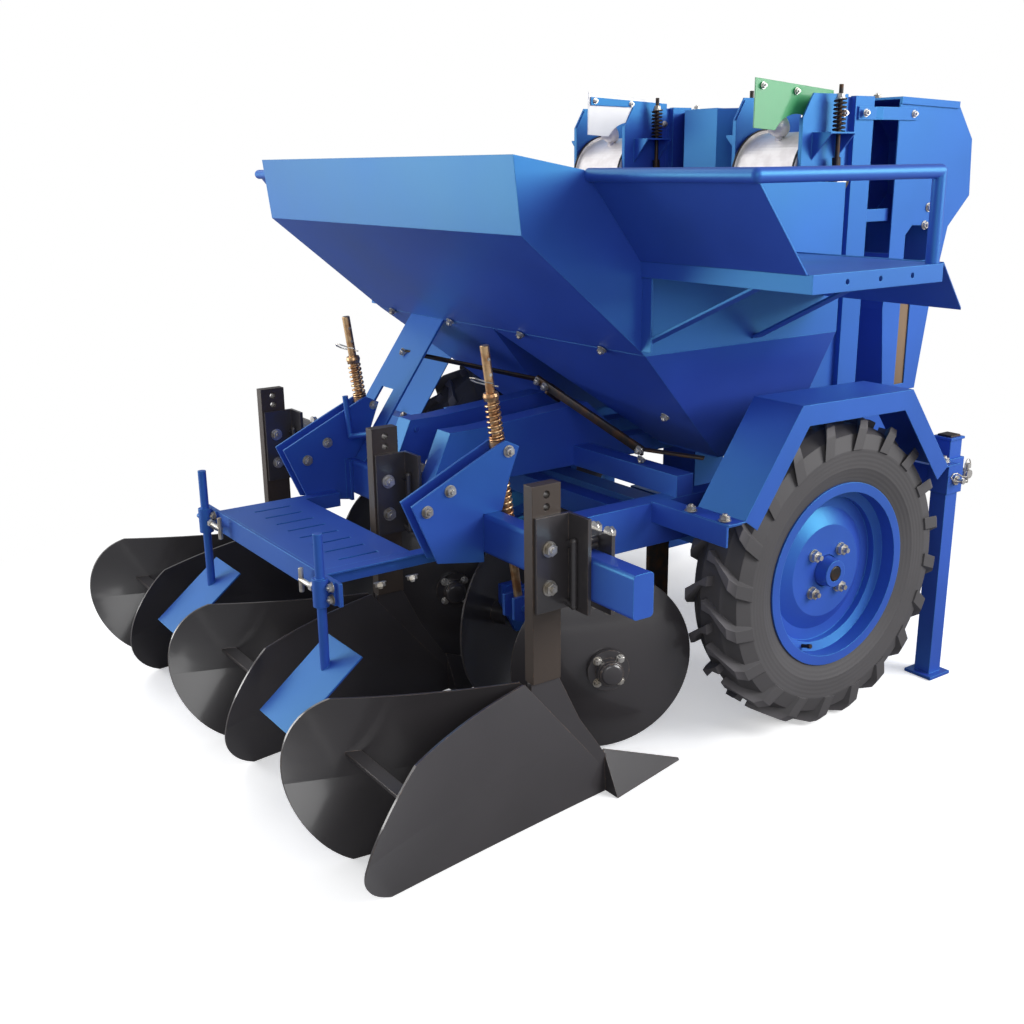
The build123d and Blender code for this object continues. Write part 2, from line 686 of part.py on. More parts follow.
# Picking units
def casing():
    """The right-hand casing of the rising belt: two side plates and a front plate."""
    outline = [(hopper_front, trough_floor), (leg_front, trough_floor), (leg_front, leg_top), (128, leg_top),
               (hopper_front, leg_top - 48)]
    body = side_prism(outline, row_x - trough_half - 4, row_x + trough_half + 4)
    hollow = block(row_x - trough_half, row_x + trough_half, hopper_front - 5, leg_front - 4, trough_floor + 4,
                   leg_top + 10)
    body -= hollow
    body -= block(row_x - trough_half, row_x + trough_half, leg_front - 10, leg_front + 10,
                  drum_z - 15, leg_top + 10)
    return body - bore_x(0, 900, drum_y, drum_z, shaft_radius)


one_casing = casing()
save("picker_casings", *pair(one_casing))

shaft_end = row_x + 150
drum_shaft = bore_x(-shaft_end, shaft_end, drum_y, drum_z, shaft_radius)
for x in (-row_x, row_x):
    drum_shaft += bore_x(x - belt_width / 2, x + belt_width / 2, drum_y, drum_z, drum_radius)
    for edge in (x - belt_width / 2 - 5, x + belt_width / 2):
        drum_shaft += bore_x(edge, edge + 5, drum_y, drum_z, drum_radius + 12)
save("drum_shaft", drum_shaft)


def cup_belt():
    """The belt round the top drum with its cups, as far as the casing shows it."""
    low = trough_floor + 40
    outer = drum_radius + belt_thick
    left, right = row_x - belt_width / 2, row_x + belt_width / 2
    ring = bore_x(left, right, drum_y, drum_z, outer)
    ring += block(left, right, drum_y - outer, drum_y + outer, low, drum_z)
    ring -= bore_x(left, right, drum_y, drum_z, drum_radius)
    ring -= block(left, right, drum_y - drum_radius, drum_y + drum_radius, low - 5, drum_z)
    cup = Sphere(cup_radius) - Sphere(cup_radius - 3) - Pos(0, 0, 50) * Box(100, 100, 100)
    cup += Pos(0, cup_radius - 1, -14) * Box(12, 8, 16)
    pitch = 105
    for i in range(int((drum_z - low) / pitch)):
        z = drum_z - 35 - i * pitch
        ring += Pos(row_x, drum_y - outer - cup_radius, z) * cup
    for turn in (-35, 25):
        on_drum = Pos(0, drum_y, drum_z) * Rot(turn, 0, 0) * Pos(row_x, 0, outer + cup_radius)
        ring += on_drum * Rot(-90, 0, 0) * cup
    return ring


save("cup_belts", *pair(cup_belt()))

# Duct: the cover over the belt's front run and the tube that drops the seed to the opener
lid_over = 5
lid_lip = 14
duct_side = [(duct_rear, leg_top), (650, leg_top - 8), (720, leg_top - 96), (730, leg_top - 237),
             (650, leg_top - 314), (600, 925), (566, duct_foot), (434, duct_foot), (410, 930),
             (duct_rear, leg_top - 382)]


def boot_hollow(z0, z1):
    """The hollow of the boot that joins the duct to its furrow opener, between two heights."""
    half = boot_half - boot_wall
    return block(row_x - half, row_x + half, boot_rear + boot_wall, front_cross_rear - boot_wall, z0, z1)


def duct():
    """The right-hand duct, hollow, open at the back of its head and at its foot."""
    body = side_prism(duct_side, row_x - duct_half, row_x + duct_half)
    hollow = side_prism(inset(duct_side, sheet), row_x - duct_half + sheet, row_x + duct_half - sheet)
    hollow += block(row_x - duct_half + sheet, row_x + duct_half - sheet, duct_rear - 10, duct_rear + 10,
                    leg_top - 372, leg_top - sheet)
    body -= hollow
    lid_line = [(duct_rear, leg_top), (650, leg_top - 8)]
    body += side_prism(band(lid_line, sheet), row_x - duct_half - lid_over, row_x + duct_half + lid_over)
    for x in (row_x - duct_half - lid_over, row_x + duct_half):
        body += side_prism(band(lid_line, -lid_lip), x, x + lid_over)
    outside = row_x + duct_half
    hatch = [(478, leg_top - 396), (478, leg_top - 329), (502, leg_top - 306), (606, leg_top - 310),
             (606, leg_top - 396)]
    body -= side_prism(hatch, outside - sheet - 1, outside + 1)
    body -= block(outside - sheet - 1, outside + 1, 480, 520, 728, 944)
    return body - boot_hollow(duct_foot - 10, duct_foot + 10)


save("seed_ducts", *pair(duct()))
brackets = []
for x in (row_x - 118, row_x + 108):
    brackets += pair(block(x, x + 10, leg_front, duct_rear, leg_top - 292, leg_top - 262))
side_face = row_x + trough_half + 4
channel_face = side_face + 16
guard_x = row_x + 75
guard_low, guard_high = leg_top - 71, leg_top + 38
hanger = block(guard_x + sheet, guard_x + 2 * sheet, 170, 225, leg_top - 30, leg_top + sheet)
hanger += block(guard_x + 2 * sheet, side_face, 170, 225, leg_top, leg_top + sheet)
save("picker_brackets", *brackets, hanger)

# Places of the two upright rods beside each unit, and the brackets that hold them
tension_x, tension_y = row_x + 142, 187
tension_shelf = leg_top - 81
adjust_x, adjust_y, adjust_radius = tension_x + 9, 122, 6
adjust_shelf = leg_top - 318


def picker_side():
    """The outer plate of the right-hand unit, with its rear flange and two folded brackets."""
    outline = [(101, leg_top - 382), (101, leg_top - 188), (96, leg_top - 188), (96, leg_top - 48),
               (128, leg_top + 6), (248, leg_top + 6), (248, leg_top - 382)]
    body = side_prism(outline, side_face, side_face + 4)
    body += block(side_face - 7, side_face, 96, 99.8, leg_top - 188, leg_top - 48)
    for rear, front, top, deep in ((130, 215, tension_shelf, 62), (102, 160, adjust_shelf, 40)):
        body += block(side_face, side_face + 60, rear, front, top - 4, top)
        corners = [(side_face + 4, top - 4), (side_face + 60, top - 4), (side_face + 4, top - deep)]
        cheek = Plane.XZ * Polygon(*corners, align=None)
        for y in (rear, front - 4):
            body += extrude(Pos(0, y, 0) * cheek, 4, dir=(0, 1, 0))
    body -= rod((tension_x, tension_y, leg_top - 90), (tension_x, tension_y, leg_top - 70), 6)
    body -= rod((adjust_x, adjust_y, adjust_shelf - 12), (adjust_x, adjust_y, adjust_shelf + 8), adjust_radius)
    return body - bore_x(side_face - 1, side_face + 5, drum_y, drum_z, shaft_radius)


outer_side = picker_side()
inner_side = Pos(2 * row_x, 0, 0) * mirror(outer_side, Plane.YZ)
arm_side = [(-22, leg_top + 25), (-22, leg_top + 4), (136, leg_top + 0.5), (248, leg_top + 0.5),
            (248, leg_top + 12)]
arm_plate = side_prism(arm_side, -2 * row_x + side_face, -2 * row_x + side_face + 4)
left_inner = mirror(inner_side, Plane.YZ) + arm_plate
save("picker_side_plates", outer_side, mirror(outer_side, Plane.YZ), inner_side, left_inner)


def channel():
    """The upright channel on the front edge of the right-hand casing's outer side."""
    body = block(side_face, channel_face, 262, leg_front, trough_floor, leg_top + 2)
    return body - block(side_face - 1, channel_face - 4, 266, leg_front - 4, trough_floor - 1, leg_top + 3)


outer_channel = channel()
inner_channel = Pos(2 * row_x, 0, 0) * mirror(outer_channel, Plane.YZ)
save("picker_channels", *pair(outer_channel), *pair(inner_channel))

# Tension rods: each holds one end of the drum shaft, with a short spring on the side plate's bracket
tension_rods = []
for x in (-tension_x, -2 * row_x + tension_x, 2 * row_x - tension_x, tension_x):
    body = rod((x, tension_y, drum_z + shaft_radius), (x, tension_y, leg_top + 25), 5.5)
    body += spring_rings(0, 74, 15, 3.5).moved(Location((x, tension_y, tension_shelf)))
    body += rod((x, tension_y, tension_shelf + 74), (x, tension_y, tension_shelf + 86), 11)
    body += bore_x(x - 10, x + 7, drum_y, drum_z, 29) - bore_x(x - 11, x + 8, drum_y, drum_z, shaft_radius)
    tension_rods.append(body)
save("tension_rods", *tension_rods)

# Adjusting rods: threaded rods on the lower brackets, with two nuts and a square foot
adjusting = []
for x in (-adjust_x, adjust_x):
    body = rod((x, adjust_y, leg_top - 512), (x, adjust_y, leg_top - 202), adjust_radius)
    body += extrude(Pos(x, adjust_y, adjust_shelf) * RegularPolygon(11, 6), 10)
    body += extrude(Pos(x, adjust_y, adjust_shelf - 14) * RegularPolygon(11, 6), 10)
    body += block(x - 16, x + 16, adjust_y - 13, adjust_y + 13, leg_top - 524, leg_top - 504)
    adjusting.append(body)
save("adjusting_rods", *adjusting)

link_plan = [(channel_face, 270), (channel_face, 334), (row_x + duct_half, 352), (row_x + duct_half, 482)]
link = plan_prism(band(link_plan, -5), leg_top - 52, leg_top - 22)
save("duct_links", *pair(link))

inner_face = row_x - trough_half - 4
divider_plan = [(inner_face, leg_front - 6), (60, 186), (-60, 186), (-inner_face, leg_front - 6)]
divider = plan_prism(band(divider_plan, sheet), leg_top - 352, leg_top - 12)
divider -= bore_x(-300, 300, drum_y, drum_z, shaft_radius + 1)
divider -= inner_channel
save("divider_sheet", divider - one_casing - mirror(one_casing, Plane.YZ) - mirror(inner_channel, Plane.YZ))

# Sorting plates above the drums: one green, one white, each with a round cut-out over the drum
guard_side = [Line((-28, guard_high), (236, guard_high - 22)), Line((236, guard_high - 22), (236, guard_low + 12)),
              Line((236, guard_low + 12), (168, guard_low + 12)),
              ThreePointArc((168, guard_low + 12), (110, guard_low + 32), (42, guard_low - 5)),
              Line((42, guard_low - 5), (-28, guard_low)), Line((-28, guard_low), (-28, guard_high))]
guard_face = Plane.YZ * make_face(Wire(guard_side))
guard = extrude(Pos(guard_x, 0, 0) * guard_face, sheet, dir=(1, 0, 0))
save("sorting_plate_right", guard)
white_plate = Pos(-2 * row_x + side_face - sheet - guard_x, 0, 0) * guard
save("sorting_plate_left", white_plate - mirror(one_casing, Plane.YZ))

# Furrow openers below the ducts
shoe_low, shoe_top = 120, 300
shoe_rear, shoe_neck, shoe_tip = 300, 540, 660


def opener():
    """The right-hand opener: a square boot and a pointed shoe, open at the back and below."""
    boot = block(row_x - boot_half, row_x + boot_half, boot_rear, front_cross_rear, shoe_top, duct_foot)
    boot -= boot_hollow(shoe_top - 10, duct_foot + 10)
    outer, inner = boot_half, boot_half - boot_wall
    shoe_plan = [(row_x - outer, shoe_rear), (row_x - outer, shoe_neck), (row_x, shoe_tip),
                 (row_x + outer, shoe_neck), (row_x + outer, shoe_rear)]
    hollow_plan = [(row_x - inner, shoe_rear - 10), (row_x - inner, shoe_neck), (row_x, shoe_tip - 8),
                   (row_x + inner, shoe_neck), (row_x + inner, shoe_rear - 10)]
    shoe = plan_prism(shoe_plan, shoe_low, shoe_top)
    shoe -= plan_prism(hollow_plan, shoe_low - 5, shoe_top - boot_wall)
    shoe -= boot_hollow(shoe_top - 10, shoe_top + 20)
    return boot + shoe


save("furrow_openers", *pair(opener()))


# Side trays with struts, guard sheets and pipe rails
def tray():
    """The right-hand tray: floor sheet with a turned-down lip and an apron that slopes down in front."""
    floor = block(hopper_half, tray_outer, tray_rear, tray_front, tray_top - sheet, tray_top)
    floor += block(tray_outer - 4, tray_outer, tray_rear, tray_front, tray_top - tray_lip, tray_top)
    floor += block(hopper_half, tray_outer, tray_rear, tray_rear + 4, tray_top - tray_lip, tray_top)
    for i in range(3):
        y = tray_rear + 90 + i * 90
        floor -= bore_x(tray_outer - 10, tray_outer + 10, y, tray_top - tray_lip / 2, 5)
    apron = side_prism(band([(tray_front, tray_top), (apron_front, apron_low)], sheet), hopper_half, tray_outer)
    corner = (apron_outer, apron_front + 4)
    plan = [(hopper_half, tray_front), (tray_outer, tray_front), corner, (hopper_half, apron_front + 4)]
    keep = Polygon(*plan, align=None)
    keep = fillet(keep.vertices().sort_by_distance(corner)[0], 16)
    return floor + (apron & extrude(Pos(0, 0, apron_low - 20) * keep, 200, dir=(0, 0, 1)))


def strut():
    """The angle-iron post on the hopper's side and the brace up to the tray's edge."""
    post = block(hopper_half, hopper_half + 30, tray_rear + 4, tray_rear + 8, 925, tray_top - sheet)
    top_x, top_z = tray_outer - 120, tray_top - 22
    rear_y, front_y = tray_rear + 20, tray_front - 20
    brace = flat_bar((hopper_half, rear_y, 940), (top_x, rear_y, top_z), (0, 1, 0), 30, 5)
    second = flat_bar((hopper_half, front_y, 925), (top_x, front_y, top_z), (0, 1, 0), 30, 5)
    inside = block(0, hopper_half, -600, 0, 800, 1300) + tray()
    return post + (brace - inside), second - inside


def side_rail():
    """The pipe rail: along the tray's back, forward over its edge and down at the front."""
    path_y = tray_rear - 135
    x_out = tray_outer - rail_pipe
    front_y = tray_front - rail_pipe - 4
    body = rod((hopper_half, path_y, rail_top), (x_out, path_y, rail_top), rail_pipe)
    body += Pos(x_out, path_y, rail_top) * Sphere(rail_pipe)
    body += rod((x_out, path_y, rail_top), (x_out, front_y, rail_top), rail_pipe)
    body += Pos(x_out, front_y, rail_top) * Sphere(rail_pipe)
    body += rod((x_out, front_y, rail_top), (x_out, front_y, tray_top), rail_pipe)
    return body


def guard_sheet():
    """The sheet that leans from the tray's back edge up to the rail."""
    line = [(tray_rear, tray_top), (tray_rear - 128, rail_top - 8)]
    return side_prism(band(line, sheet), hopper_half, tray_outer - 12)


pipe = side_rail()
save("side_trays", *pair(tray()))
save("tray_struts", *[half for piece in strut() for half in pair(piece)])
save("tray_rails", *pair(pipe))
save("tray_guards", *pair(guard_sheet() - pipe))

# Fenders with a turned-down outer lip
fender_outer = 742
fender_width = 142
fender_inner = fender_outer - fender_width
fender_line = [(-405, 575), (-358, 575), (-199, 801), (168, 794), (325, 589), (372, 589)]
fender_lip = 46


def fender():
    """The right-hand fender: a bent sheet with end flanges and a lip along its outer edge."""
    body = side_prism(band(fender_line, -sheet), fender_inner, fender_outer)
    body += side_prism(band(fender_line[1:5], -fender_lip), fender_outer - sheet, fender_outer)
    return body


save("fenders", *pair(fender()))

# Fender arms: angle bars from the rails out under the fenders' rear flanges
arm_rear, arm_front = fender_line[0][0], -360
arm_low, arm_top, arm_wall = 524, 572, 5
fender_arm = block(rail_out, fender_outer - 6, arm_rear, arm_front, arm_low, arm_top)
fender_arm -= block(rail_out + 1, fender_outer + 10, arm_rear + arm_wall, arm_front + 10, arm_low - 10,
                    arm_top - arm_wall)
save("fender_arms", *pair(fender_arm))

# Stand legs in their sleeves
sleeve_low, sleeve_high = 496, 586
foot_half, foot_thick = 40, 8
cap_half, cap_thick = 27, 6


def stand_block(half, z0, z1):
    """A square block on the right-hand leg's axis, between two heights."""
    return block(stand_x - half, stand_x + half, stand_y - half, stand_y + half, z0, z1)


hole_half = stand_tube / 2 + stand_gap
sleeve_half = hole_half + sleeve_wall
sleeve = stand_block(sleeve_half, sleeve_low, sleeve_high)
sleeve -= stand_block(hole_half, sleeve_low - 10, sleeve_high + 10)
sleeve += block(rail_out, stand_x - sleeve_half, stand_y - 25, stand_y + 25, sleeve_low + 14, sleeve_high - 26)
save("stand_sleeves", *pair(sleeve))
stand = stand_block(stand_tube / 2, foot_thick, stand_top)
stand += stand_block(foot_half, 0, foot_thick)
stand += stand_block(cap_half, stand_top, stand_top + cap_thick)
save("stand_leg_right", stand)
save("stand_leg_left", mirror(stand, Plane.YZ))
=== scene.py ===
from math import cos, pi, radians, sin

import bmesh
import bpy
from mathutils import Matrix, Vector


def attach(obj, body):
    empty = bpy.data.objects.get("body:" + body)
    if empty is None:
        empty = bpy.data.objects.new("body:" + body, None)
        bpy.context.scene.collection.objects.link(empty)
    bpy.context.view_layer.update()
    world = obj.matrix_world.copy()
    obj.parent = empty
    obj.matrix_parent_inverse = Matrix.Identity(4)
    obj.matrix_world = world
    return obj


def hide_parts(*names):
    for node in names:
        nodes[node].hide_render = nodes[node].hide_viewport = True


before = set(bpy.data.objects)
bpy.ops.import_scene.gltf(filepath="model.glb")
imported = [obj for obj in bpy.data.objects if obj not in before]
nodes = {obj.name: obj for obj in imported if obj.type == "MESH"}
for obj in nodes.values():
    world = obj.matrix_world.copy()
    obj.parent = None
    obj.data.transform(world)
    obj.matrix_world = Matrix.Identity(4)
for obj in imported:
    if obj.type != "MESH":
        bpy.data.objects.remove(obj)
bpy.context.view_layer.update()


# Camera: it stands behind the machine on its right, a little above the hopper's rim, and looks
# down at it. Its place was solved from the photograph's parallel edges.
def add_camera():
    """Heading, pitch and roll are the photograph's, and the lens is for a 36 mm wide sensor."""
    heading, pitch, roll = radians(55.34), radians(16.47), radians(-0.71)
    look = Vector((-sin(heading) * cos(pitch), cos(heading) * cos(pitch), -sin(pitch)))
    level = Vector((cos(heading), sin(heading), 0))
    above = level.cross(look)
    right = level * cos(roll) + above * sin(roll)
    up = above * cos(roll) - level * sin(roll)
    camera = bpy.data.objects.new("camera", bpy.data.cameras.new("camera"))
    camera.data.sensor_width = 36
    camera.data.lens = 41.52
    axes = Matrix((right, up, -look)).transposed().to_4x4()
    camera.matrix_world = Matrix.Translation((2.408, -1.853, 1.301)) @ axes
    bpy.context.scene.collection.objects.link(camera)
    bpy.context.scene.camera = camera


add_camera()


# Studio: a white sweep of floor that keeps the machine's shadow, a pale sky all round, and four large
# soft boxes: overhead, behind, at the right front and beside the camera. The floor throws back less
# light than it shows, so that undersides stay deep.
def node_maker(material):
    """The material's node tree, a function that adds a node to it, and one that links two sockets."""
    tree = material.node_tree

    def add(kind, **settings):
        node = tree.nodes.new("ShaderNode" + kind)
        for key, value in settings.items():
            setattr(node, key, value)
        return node

    return tree, add, tree.links.new


def add_floor():
    """The camera sees it lit and shaded near the machine and pure white past it; mirrors see the
    dull floor that lights the undersides, and white only far away."""
    shadow_end, white_start = 1.15, 2.1
    mirror_near, mirror_far = 3.5, 7
    floor_mesh = bpy.data.meshes.new("floor")
    bm = bmesh.new()
    bmesh.ops.create_circle(bm, cap_ends=True, segments=64, radius=14)
    bm.to_mesh(floor_mesh)
    bm.free()
    floor = bpy.data.objects.new("floor", floor_mesh)
    floor.location.z = -0.001
    bpy.context.scene.collection.objects.link(floor)
    material = bpy.data.materials.new("floor_white")
    material.use_nodes = True
    tree, add, link = node_maker(material)
    tree.nodes.clear()
    rays = add("LightPath")
    either = add("Math", operation="MAXIMUM")
    any_view = add("Math", operation="MAXIMUM")
    link(rays.outputs["Is Camera Ray"], either.inputs[0])
    link(rays.outputs["Is Glossy Ray"], either.inputs[1])
    link(either.outputs[0], any_view.inputs[0])
    link(rays.outputs["Is Transmission Ray"], any_view.inputs[1])
    near_white = add("BsdfDiffuse")
    near_white.inputs["Color"].default_value = (1, 1, 1, 1)
    lift = add("Emission")
    lift.inputs["Strength"].default_value = 0.4
    near = add("AddShader")
    link(near_white.outputs[0], near.inputs[0])
    link(lift.outputs[0], near.inputs[1])
    far_white = add("Emission")
    reach = add("VectorMath", operation="LENGTH")
    link(add("TexCoord").outputs["Object"], reach.inputs[0])
    fade = add("MapRange", interpolation_type="SMOOTHSTEP")
    fade.inputs["From Min"].default_value = shadow_end
    fade.inputs["From Max"].default_value = white_start
    link(reach.outputs["Value"], fade.inputs["Value"])
    hidden = add("BsdfDiffuse")
    hidden.inputs["Color"].default_value = (0.32, 0.32, 0.33, 1)
    close = add("MixShader")
    link(rays.outputs["Is Camera Ray"], close.inputs[0])
    link(hidden.outputs[0], close.inputs[1])
    link(near.outputs[0], close.inputs[2])
    mirror_fade = add("MapRange", interpolation_type="SMOOTHSTEP")
    mirror_fade.inputs["From Min"].default_value = mirror_near
    mirror_fade.inputs["From Max"].default_value = mirror_far
    link(reach.outputs["Value"], mirror_fade.inputs["Value"])
    share = add("Mix")
    link(rays.outputs["Is Camera Ray"], share.inputs["Factor"])
    link(mirror_fade.outputs["Result"], share.inputs["A"])
    link(fade.outputs["Result"], share.inputs["B"])
    shown = add("MixShader")
    link(share.outputs["Result"], shown.inputs[0])
    link(close.outputs[0], shown.inputs[1])
    link(far_white.outputs[0], shown.inputs[2])
    mix = add("MixShader")
    link(any_view.outputs[0], mix.inputs[0])
    link(hidden.outputs[0], mix.inputs[1])
    link(shown.outputs[0], mix.inputs[2])
    output = add("OutputMaterial")
    link(mix.outputs[0], output.inputs["Surface"])
    floor_mesh.materials.append(material)


def add_sky():
    """White to the camera, and a dim cool light to everything else."""
    world = bpy.data.worlds.new("studio")
    bpy.context.scene.world = world
    world.use_nodes = True
    tree, add, link = node_maker(world)
    tree.nodes.clear()
    rays = add("LightPath")
    dim = add("Background")
    dim.inputs["Color"].default_value = (0.95, 0.97, 1, 1)
    dim.inputs["Strength"].default_value = 0.36
    white = add("Background")
    white.inputs["Color"].default_value = (1, 1, 1, 1)
    white.inputs["Strength"].default_value = 1
    mix = add("MixShader")
    link(rays.outputs["Is Camera Ray"], mix.inputs[0])
    link(dim.outputs[0], mix.inputs[1])
    link(white.outputs[0], mix.inputs[2])
    output = add("OutputWorld")
    link(mix.outputs[0], output.inputs["Surface"])


def add_soft_box(name, stand, target, size, power):
    """An area lamp at a point in metres, turned towards another."""
    light = bpy.data.lights.new(name, "AREA")
    light.shape = "RECTANGLE"
    light.size, light.size_y = size
    light.energy = power
    box = bpy.data.objects.new(name, light)
    box.location = stand
    box.rotation_euler = (Vector(target) - Vector(stand)).to_track_quat("-Z", "Y").to_euler()
    bpy.context.scene.collection.objects.link(box)


bpy.context.scene.view_settings.view_transform = "Standard"
add_floor()
add_sky()
add_soft_box("top_box", (-2.6, -1.4, 3.6), (0, 0, 0.6), (3.0, 3.0), 50)
add_soft_box("rear_box", (-3.4, -3.9, 1.5), (0, 0, 0.8), (2.8, 2.4), 135)
add_soft_box("side_box", (3.9, 2.6, 2.6), (0.2, 0, 0.9), (2.8, 2.6), 210)
add_soft_box("camera_box", (4.2, -2.4, 2.2), (0, -0.2, 0.6), (2.4, 2.0), 45)


# Paint: azure blue covers the frame, hopper, trays and wheels, and black covers the soil tools. Both
# are sprayed on bare steel in the shop, so they have a fine orange peel. The black is worn thin along
# the edges, while the blue's edges carry a painted azure highlight.
def painted_steel(name, colour, rough, coat, wear_and_highlight, wear_and_highlight_colour=(0.2, 0.2, 0.22), chipped=1.0):
    """Cloudy paint whose sharp edges take another colour: real wear on most finishes, a painted
    highlight on the blue; chipped is how far that breaks up in patches.
    """
    orange_peel = 0.08
    edge_width = 0.0022
    material = bpy.data.materials.new(name)
    material.use_nodes = True
    tree, add, link = node_maker(material)
    shader = tree.nodes["Principled BSDF"]
    spot = add("TexCoord").outputs["Object"]
    cloud = add("TexNoise")
    cloud.inputs["Scale"].default_value = 3.2
    cloud.inputs["Detail"].default_value = 4
    link(spot, cloud.inputs["Vector"])
    shades = add("ValToRGB")
    shades.color_ramp.elements[0].position = 0.3
    shades.color_ramp.elements[0].color = [c * 0.86 for c in colour] + [1]
    shades.color_ramp.elements[1].position = 0.7
    shades.color_ramp.elements[1].color = [min(c * 1.12, 1) for c in colour] + [1]
    link(cloud.outputs["Fac"], shades.inputs["Fac"])
    edge = add("Bevel", samples=4)
    edge.inputs["Radius"].default_value = edge_width
    flat = add("NewGeometry")
    turn = add("VectorMath", operation="DOT_PRODUCT")
    link(edge.outputs["Normal"], turn.inputs[0])
    link(flat.outputs["True Normal"], turn.inputs[1])
    sharp = add("MapRange")
    sharp.inputs["From Min"].default_value = 0.97
    sharp.inputs["From Max"].default_value = 0.8
    link(turn.outputs["Value"], sharp.inputs["Value"])
    chips = add("TexNoise")
    chips.inputs["Scale"].default_value = 90
    chips.inputs["Detail"].default_value = 3
    link(spot, chips.inputs["Vector"])
    chip_mask = add("MapRange")
    chip_mask.inputs["From Min"].default_value = 0.52
    chip_mask.inputs["From Max"].default_value = 0.68
    chip_mask.inputs["To Min"].default_value = 1 - chipped
    link(chips.outputs["Fac"], chip_mask.inputs["Value"])
    # Sharp edges, broken up in patches: worn colour on the black and rolled steel, a painted highlight
    # on the blue.
    wear_and_highlight_mask = add("Math", operation="MULTIPLY")
    link(sharp.outputs["Result"], wear_and_highlight_mask.inputs[0])
    link(chip_mask.outputs["Result"], wear_and_highlight_mask.inputs[1])
    amount = add("Math", operation="MULTIPLY")
    amount.inputs[1].default_value = wear_and_highlight
    link(wear_and_highlight_mask.outputs[0], amount.inputs[0])
    mixed = add("Mix", data_type="RGBA")
    link(amount.outputs[0], mixed.inputs["Factor"])
    link(shades.outputs["Color"], mixed.inputs["A"])
    mixed.inputs["B"].default_value = (*wear_and_highlight_colour, 1)
    link(mixed.outputs["Result"], shader.inputs["Base Color"])
    dull = add("MapRange")
    dull.inputs["To Min"].default_value = rough - 0.06
    dull.inputs["To Max"].default_value = rough + 0.08
    link(cloud.outputs["Fac"], dull.inputs["Value"])
    link(dull.outputs["Result"], shader.inputs["Roughness"])
    ripple = add("TexNoise")
    ripple.inputs["Scale"].default_value = 260
    ripple.inputs["Detail"].default_value = 1
    link(spot, ripple.inputs["Vector"])
    bump = add("Bump")
    bump.inputs["Strength"].default_value = orange_peel
    bump.inputs["Distance"].default_value = 0.001
    link(ripple.outputs["Fac"], bump.inputs["Height"])
    link(edge.outputs["Normal"], bump.inputs["Normal"])
    link(bump.outputs["Normal"], shader.inputs["Normal"])
    shader.inputs["Coat Weight"].default_value = coat
    shader.inputs["Coat Roughness"].default_value = 0.12
    return material


def finish_nodes(material, *names):
    """Give carried-over nodes their finish."""
    for name in names:
        mesh = nodes[name].data
        mesh.materials.clear()
        mesh.materials.append(material)


# The blue's edge colour is not wear: it is a painted azure highlight along every sharp edge.
blue_paint = painted_steel("blue_paint", (0.032, 0.064, 0.42), rough=0.43, coat=0, wear_and_highlight=0.85,
                           wear_and_highlight_colour=(0.1, 0.36, 0.75), chipped=0.3)
blue_shader = blue_paint.node_tree.nodes["Principled BSDF"]
blue_shader.inputs["IOR"].default_value = 2.0
blue_shader.inputs["Specular Tint"].default_value = (0.12, 0.8, 1, 1)
finish_nodes(blue_paint, *nodes)

black_paint = painted_steel("black_paint", (0.045, 0.041, 0.044), rough=0.3, coat=0.6, wear_and_highlight=0.85,
                            wear_and_highlight_colour=(0.34, 0.22, 0.14), chipped=0.7)
finish_nodes(black_paint, *[n for n in nodes if n.startswith(("ridger", "disc_left", "disc_right"))])


# Tyres: black rubber with a matt bloom, moulded in one piece. Fine rings run round the walls, and the
# treads are greyer from handling and floor dust.
def place(x, y, z):
    """A point given in millimetres, with y counted from the wheel axle as the solids are drawn."""
    axle_y = 250
    return Vector((x, y + axle_y, z)) / 1000


def tyre_rubber():
    """Rubber whose rings and dust follow the distance from the wheels' axle, in metres."""
    ring_pace = 620
    wall_reach, tread_low, tread_high = 0.3, 0.345, 0.366
    material = painted_steel("rubber", (0.07, 0.066, 0.069), rough=0.62, coat=0, wear_and_highlight=0)
    tree, add, link = node_maker(material)
    shader = tree.nodes["Principled BSDF"]
    apart = add("VectorMath", operation="SUBTRACT")
    apart.inputs[1].default_value = place(0, 0, 370)
    link(add("TexCoord").outputs["Object"], apart.inputs[0])
    flat = add("VectorMath", operation="MULTIPLY")
    flat.inputs[1].default_value = (0, 1, 1)
    link(apart.outputs[0], flat.inputs[0])
    reach = add("VectorMath", operation="LENGTH")
    link(flat.outputs[0], reach.inputs[0])
    rings = add("Math", operation="SINE")
    pace = add("Math", operation="MULTIPLY")
    pace.inputs[1].default_value = ring_pace
    link(reach.outputs["Value"], pace.inputs[0])
    link(pace.outputs[0], rings.inputs[0])
    walls = add("Math", operation="LESS_THAN")
    walls.inputs[1].default_value = wall_reach
    link(reach.outputs["Value"], walls.inputs[0])
    height = add("Math", operation="MULTIPLY")
    link(rings.outputs[0], height.inputs[0])
    link(walls.outputs[0], height.inputs[1])
    bump = add("Bump")
    bump.inputs["Strength"].default_value = 0.12
    bump.inputs["Distance"].default_value = 0.001
    link(height.outputs[0], bump.inputs["Height"])
    link(shader.inputs["Normal"].links[0].from_socket, bump.inputs["Normal"])
    link(bump.outputs["Normal"], shader.inputs["Normal"])
    tread = add("MapRange")
    tread.inputs["From Min"].default_value = tread_low
    tread.inputs["From Max"].default_value = tread_high
    link(reach.outputs["Value"], tread.inputs["Value"])
    dusty = add("Mix", data_type="RGBA")
    link(tread.outputs["Result"], dusty.inputs["Factor"])
    link(shader.inputs["Base Color"].links[0].from_socket, dusty.inputs["A"])
    dusty.inputs["B"].default_value = (0.13, 0.122, 0.13, 1)
    link(dusty.outputs["Result"], shader.inputs["Base Color"])
    return material


rubber = tyre_rubber()
finish_nodes(rubber, "tyre_left", "tyre_right")


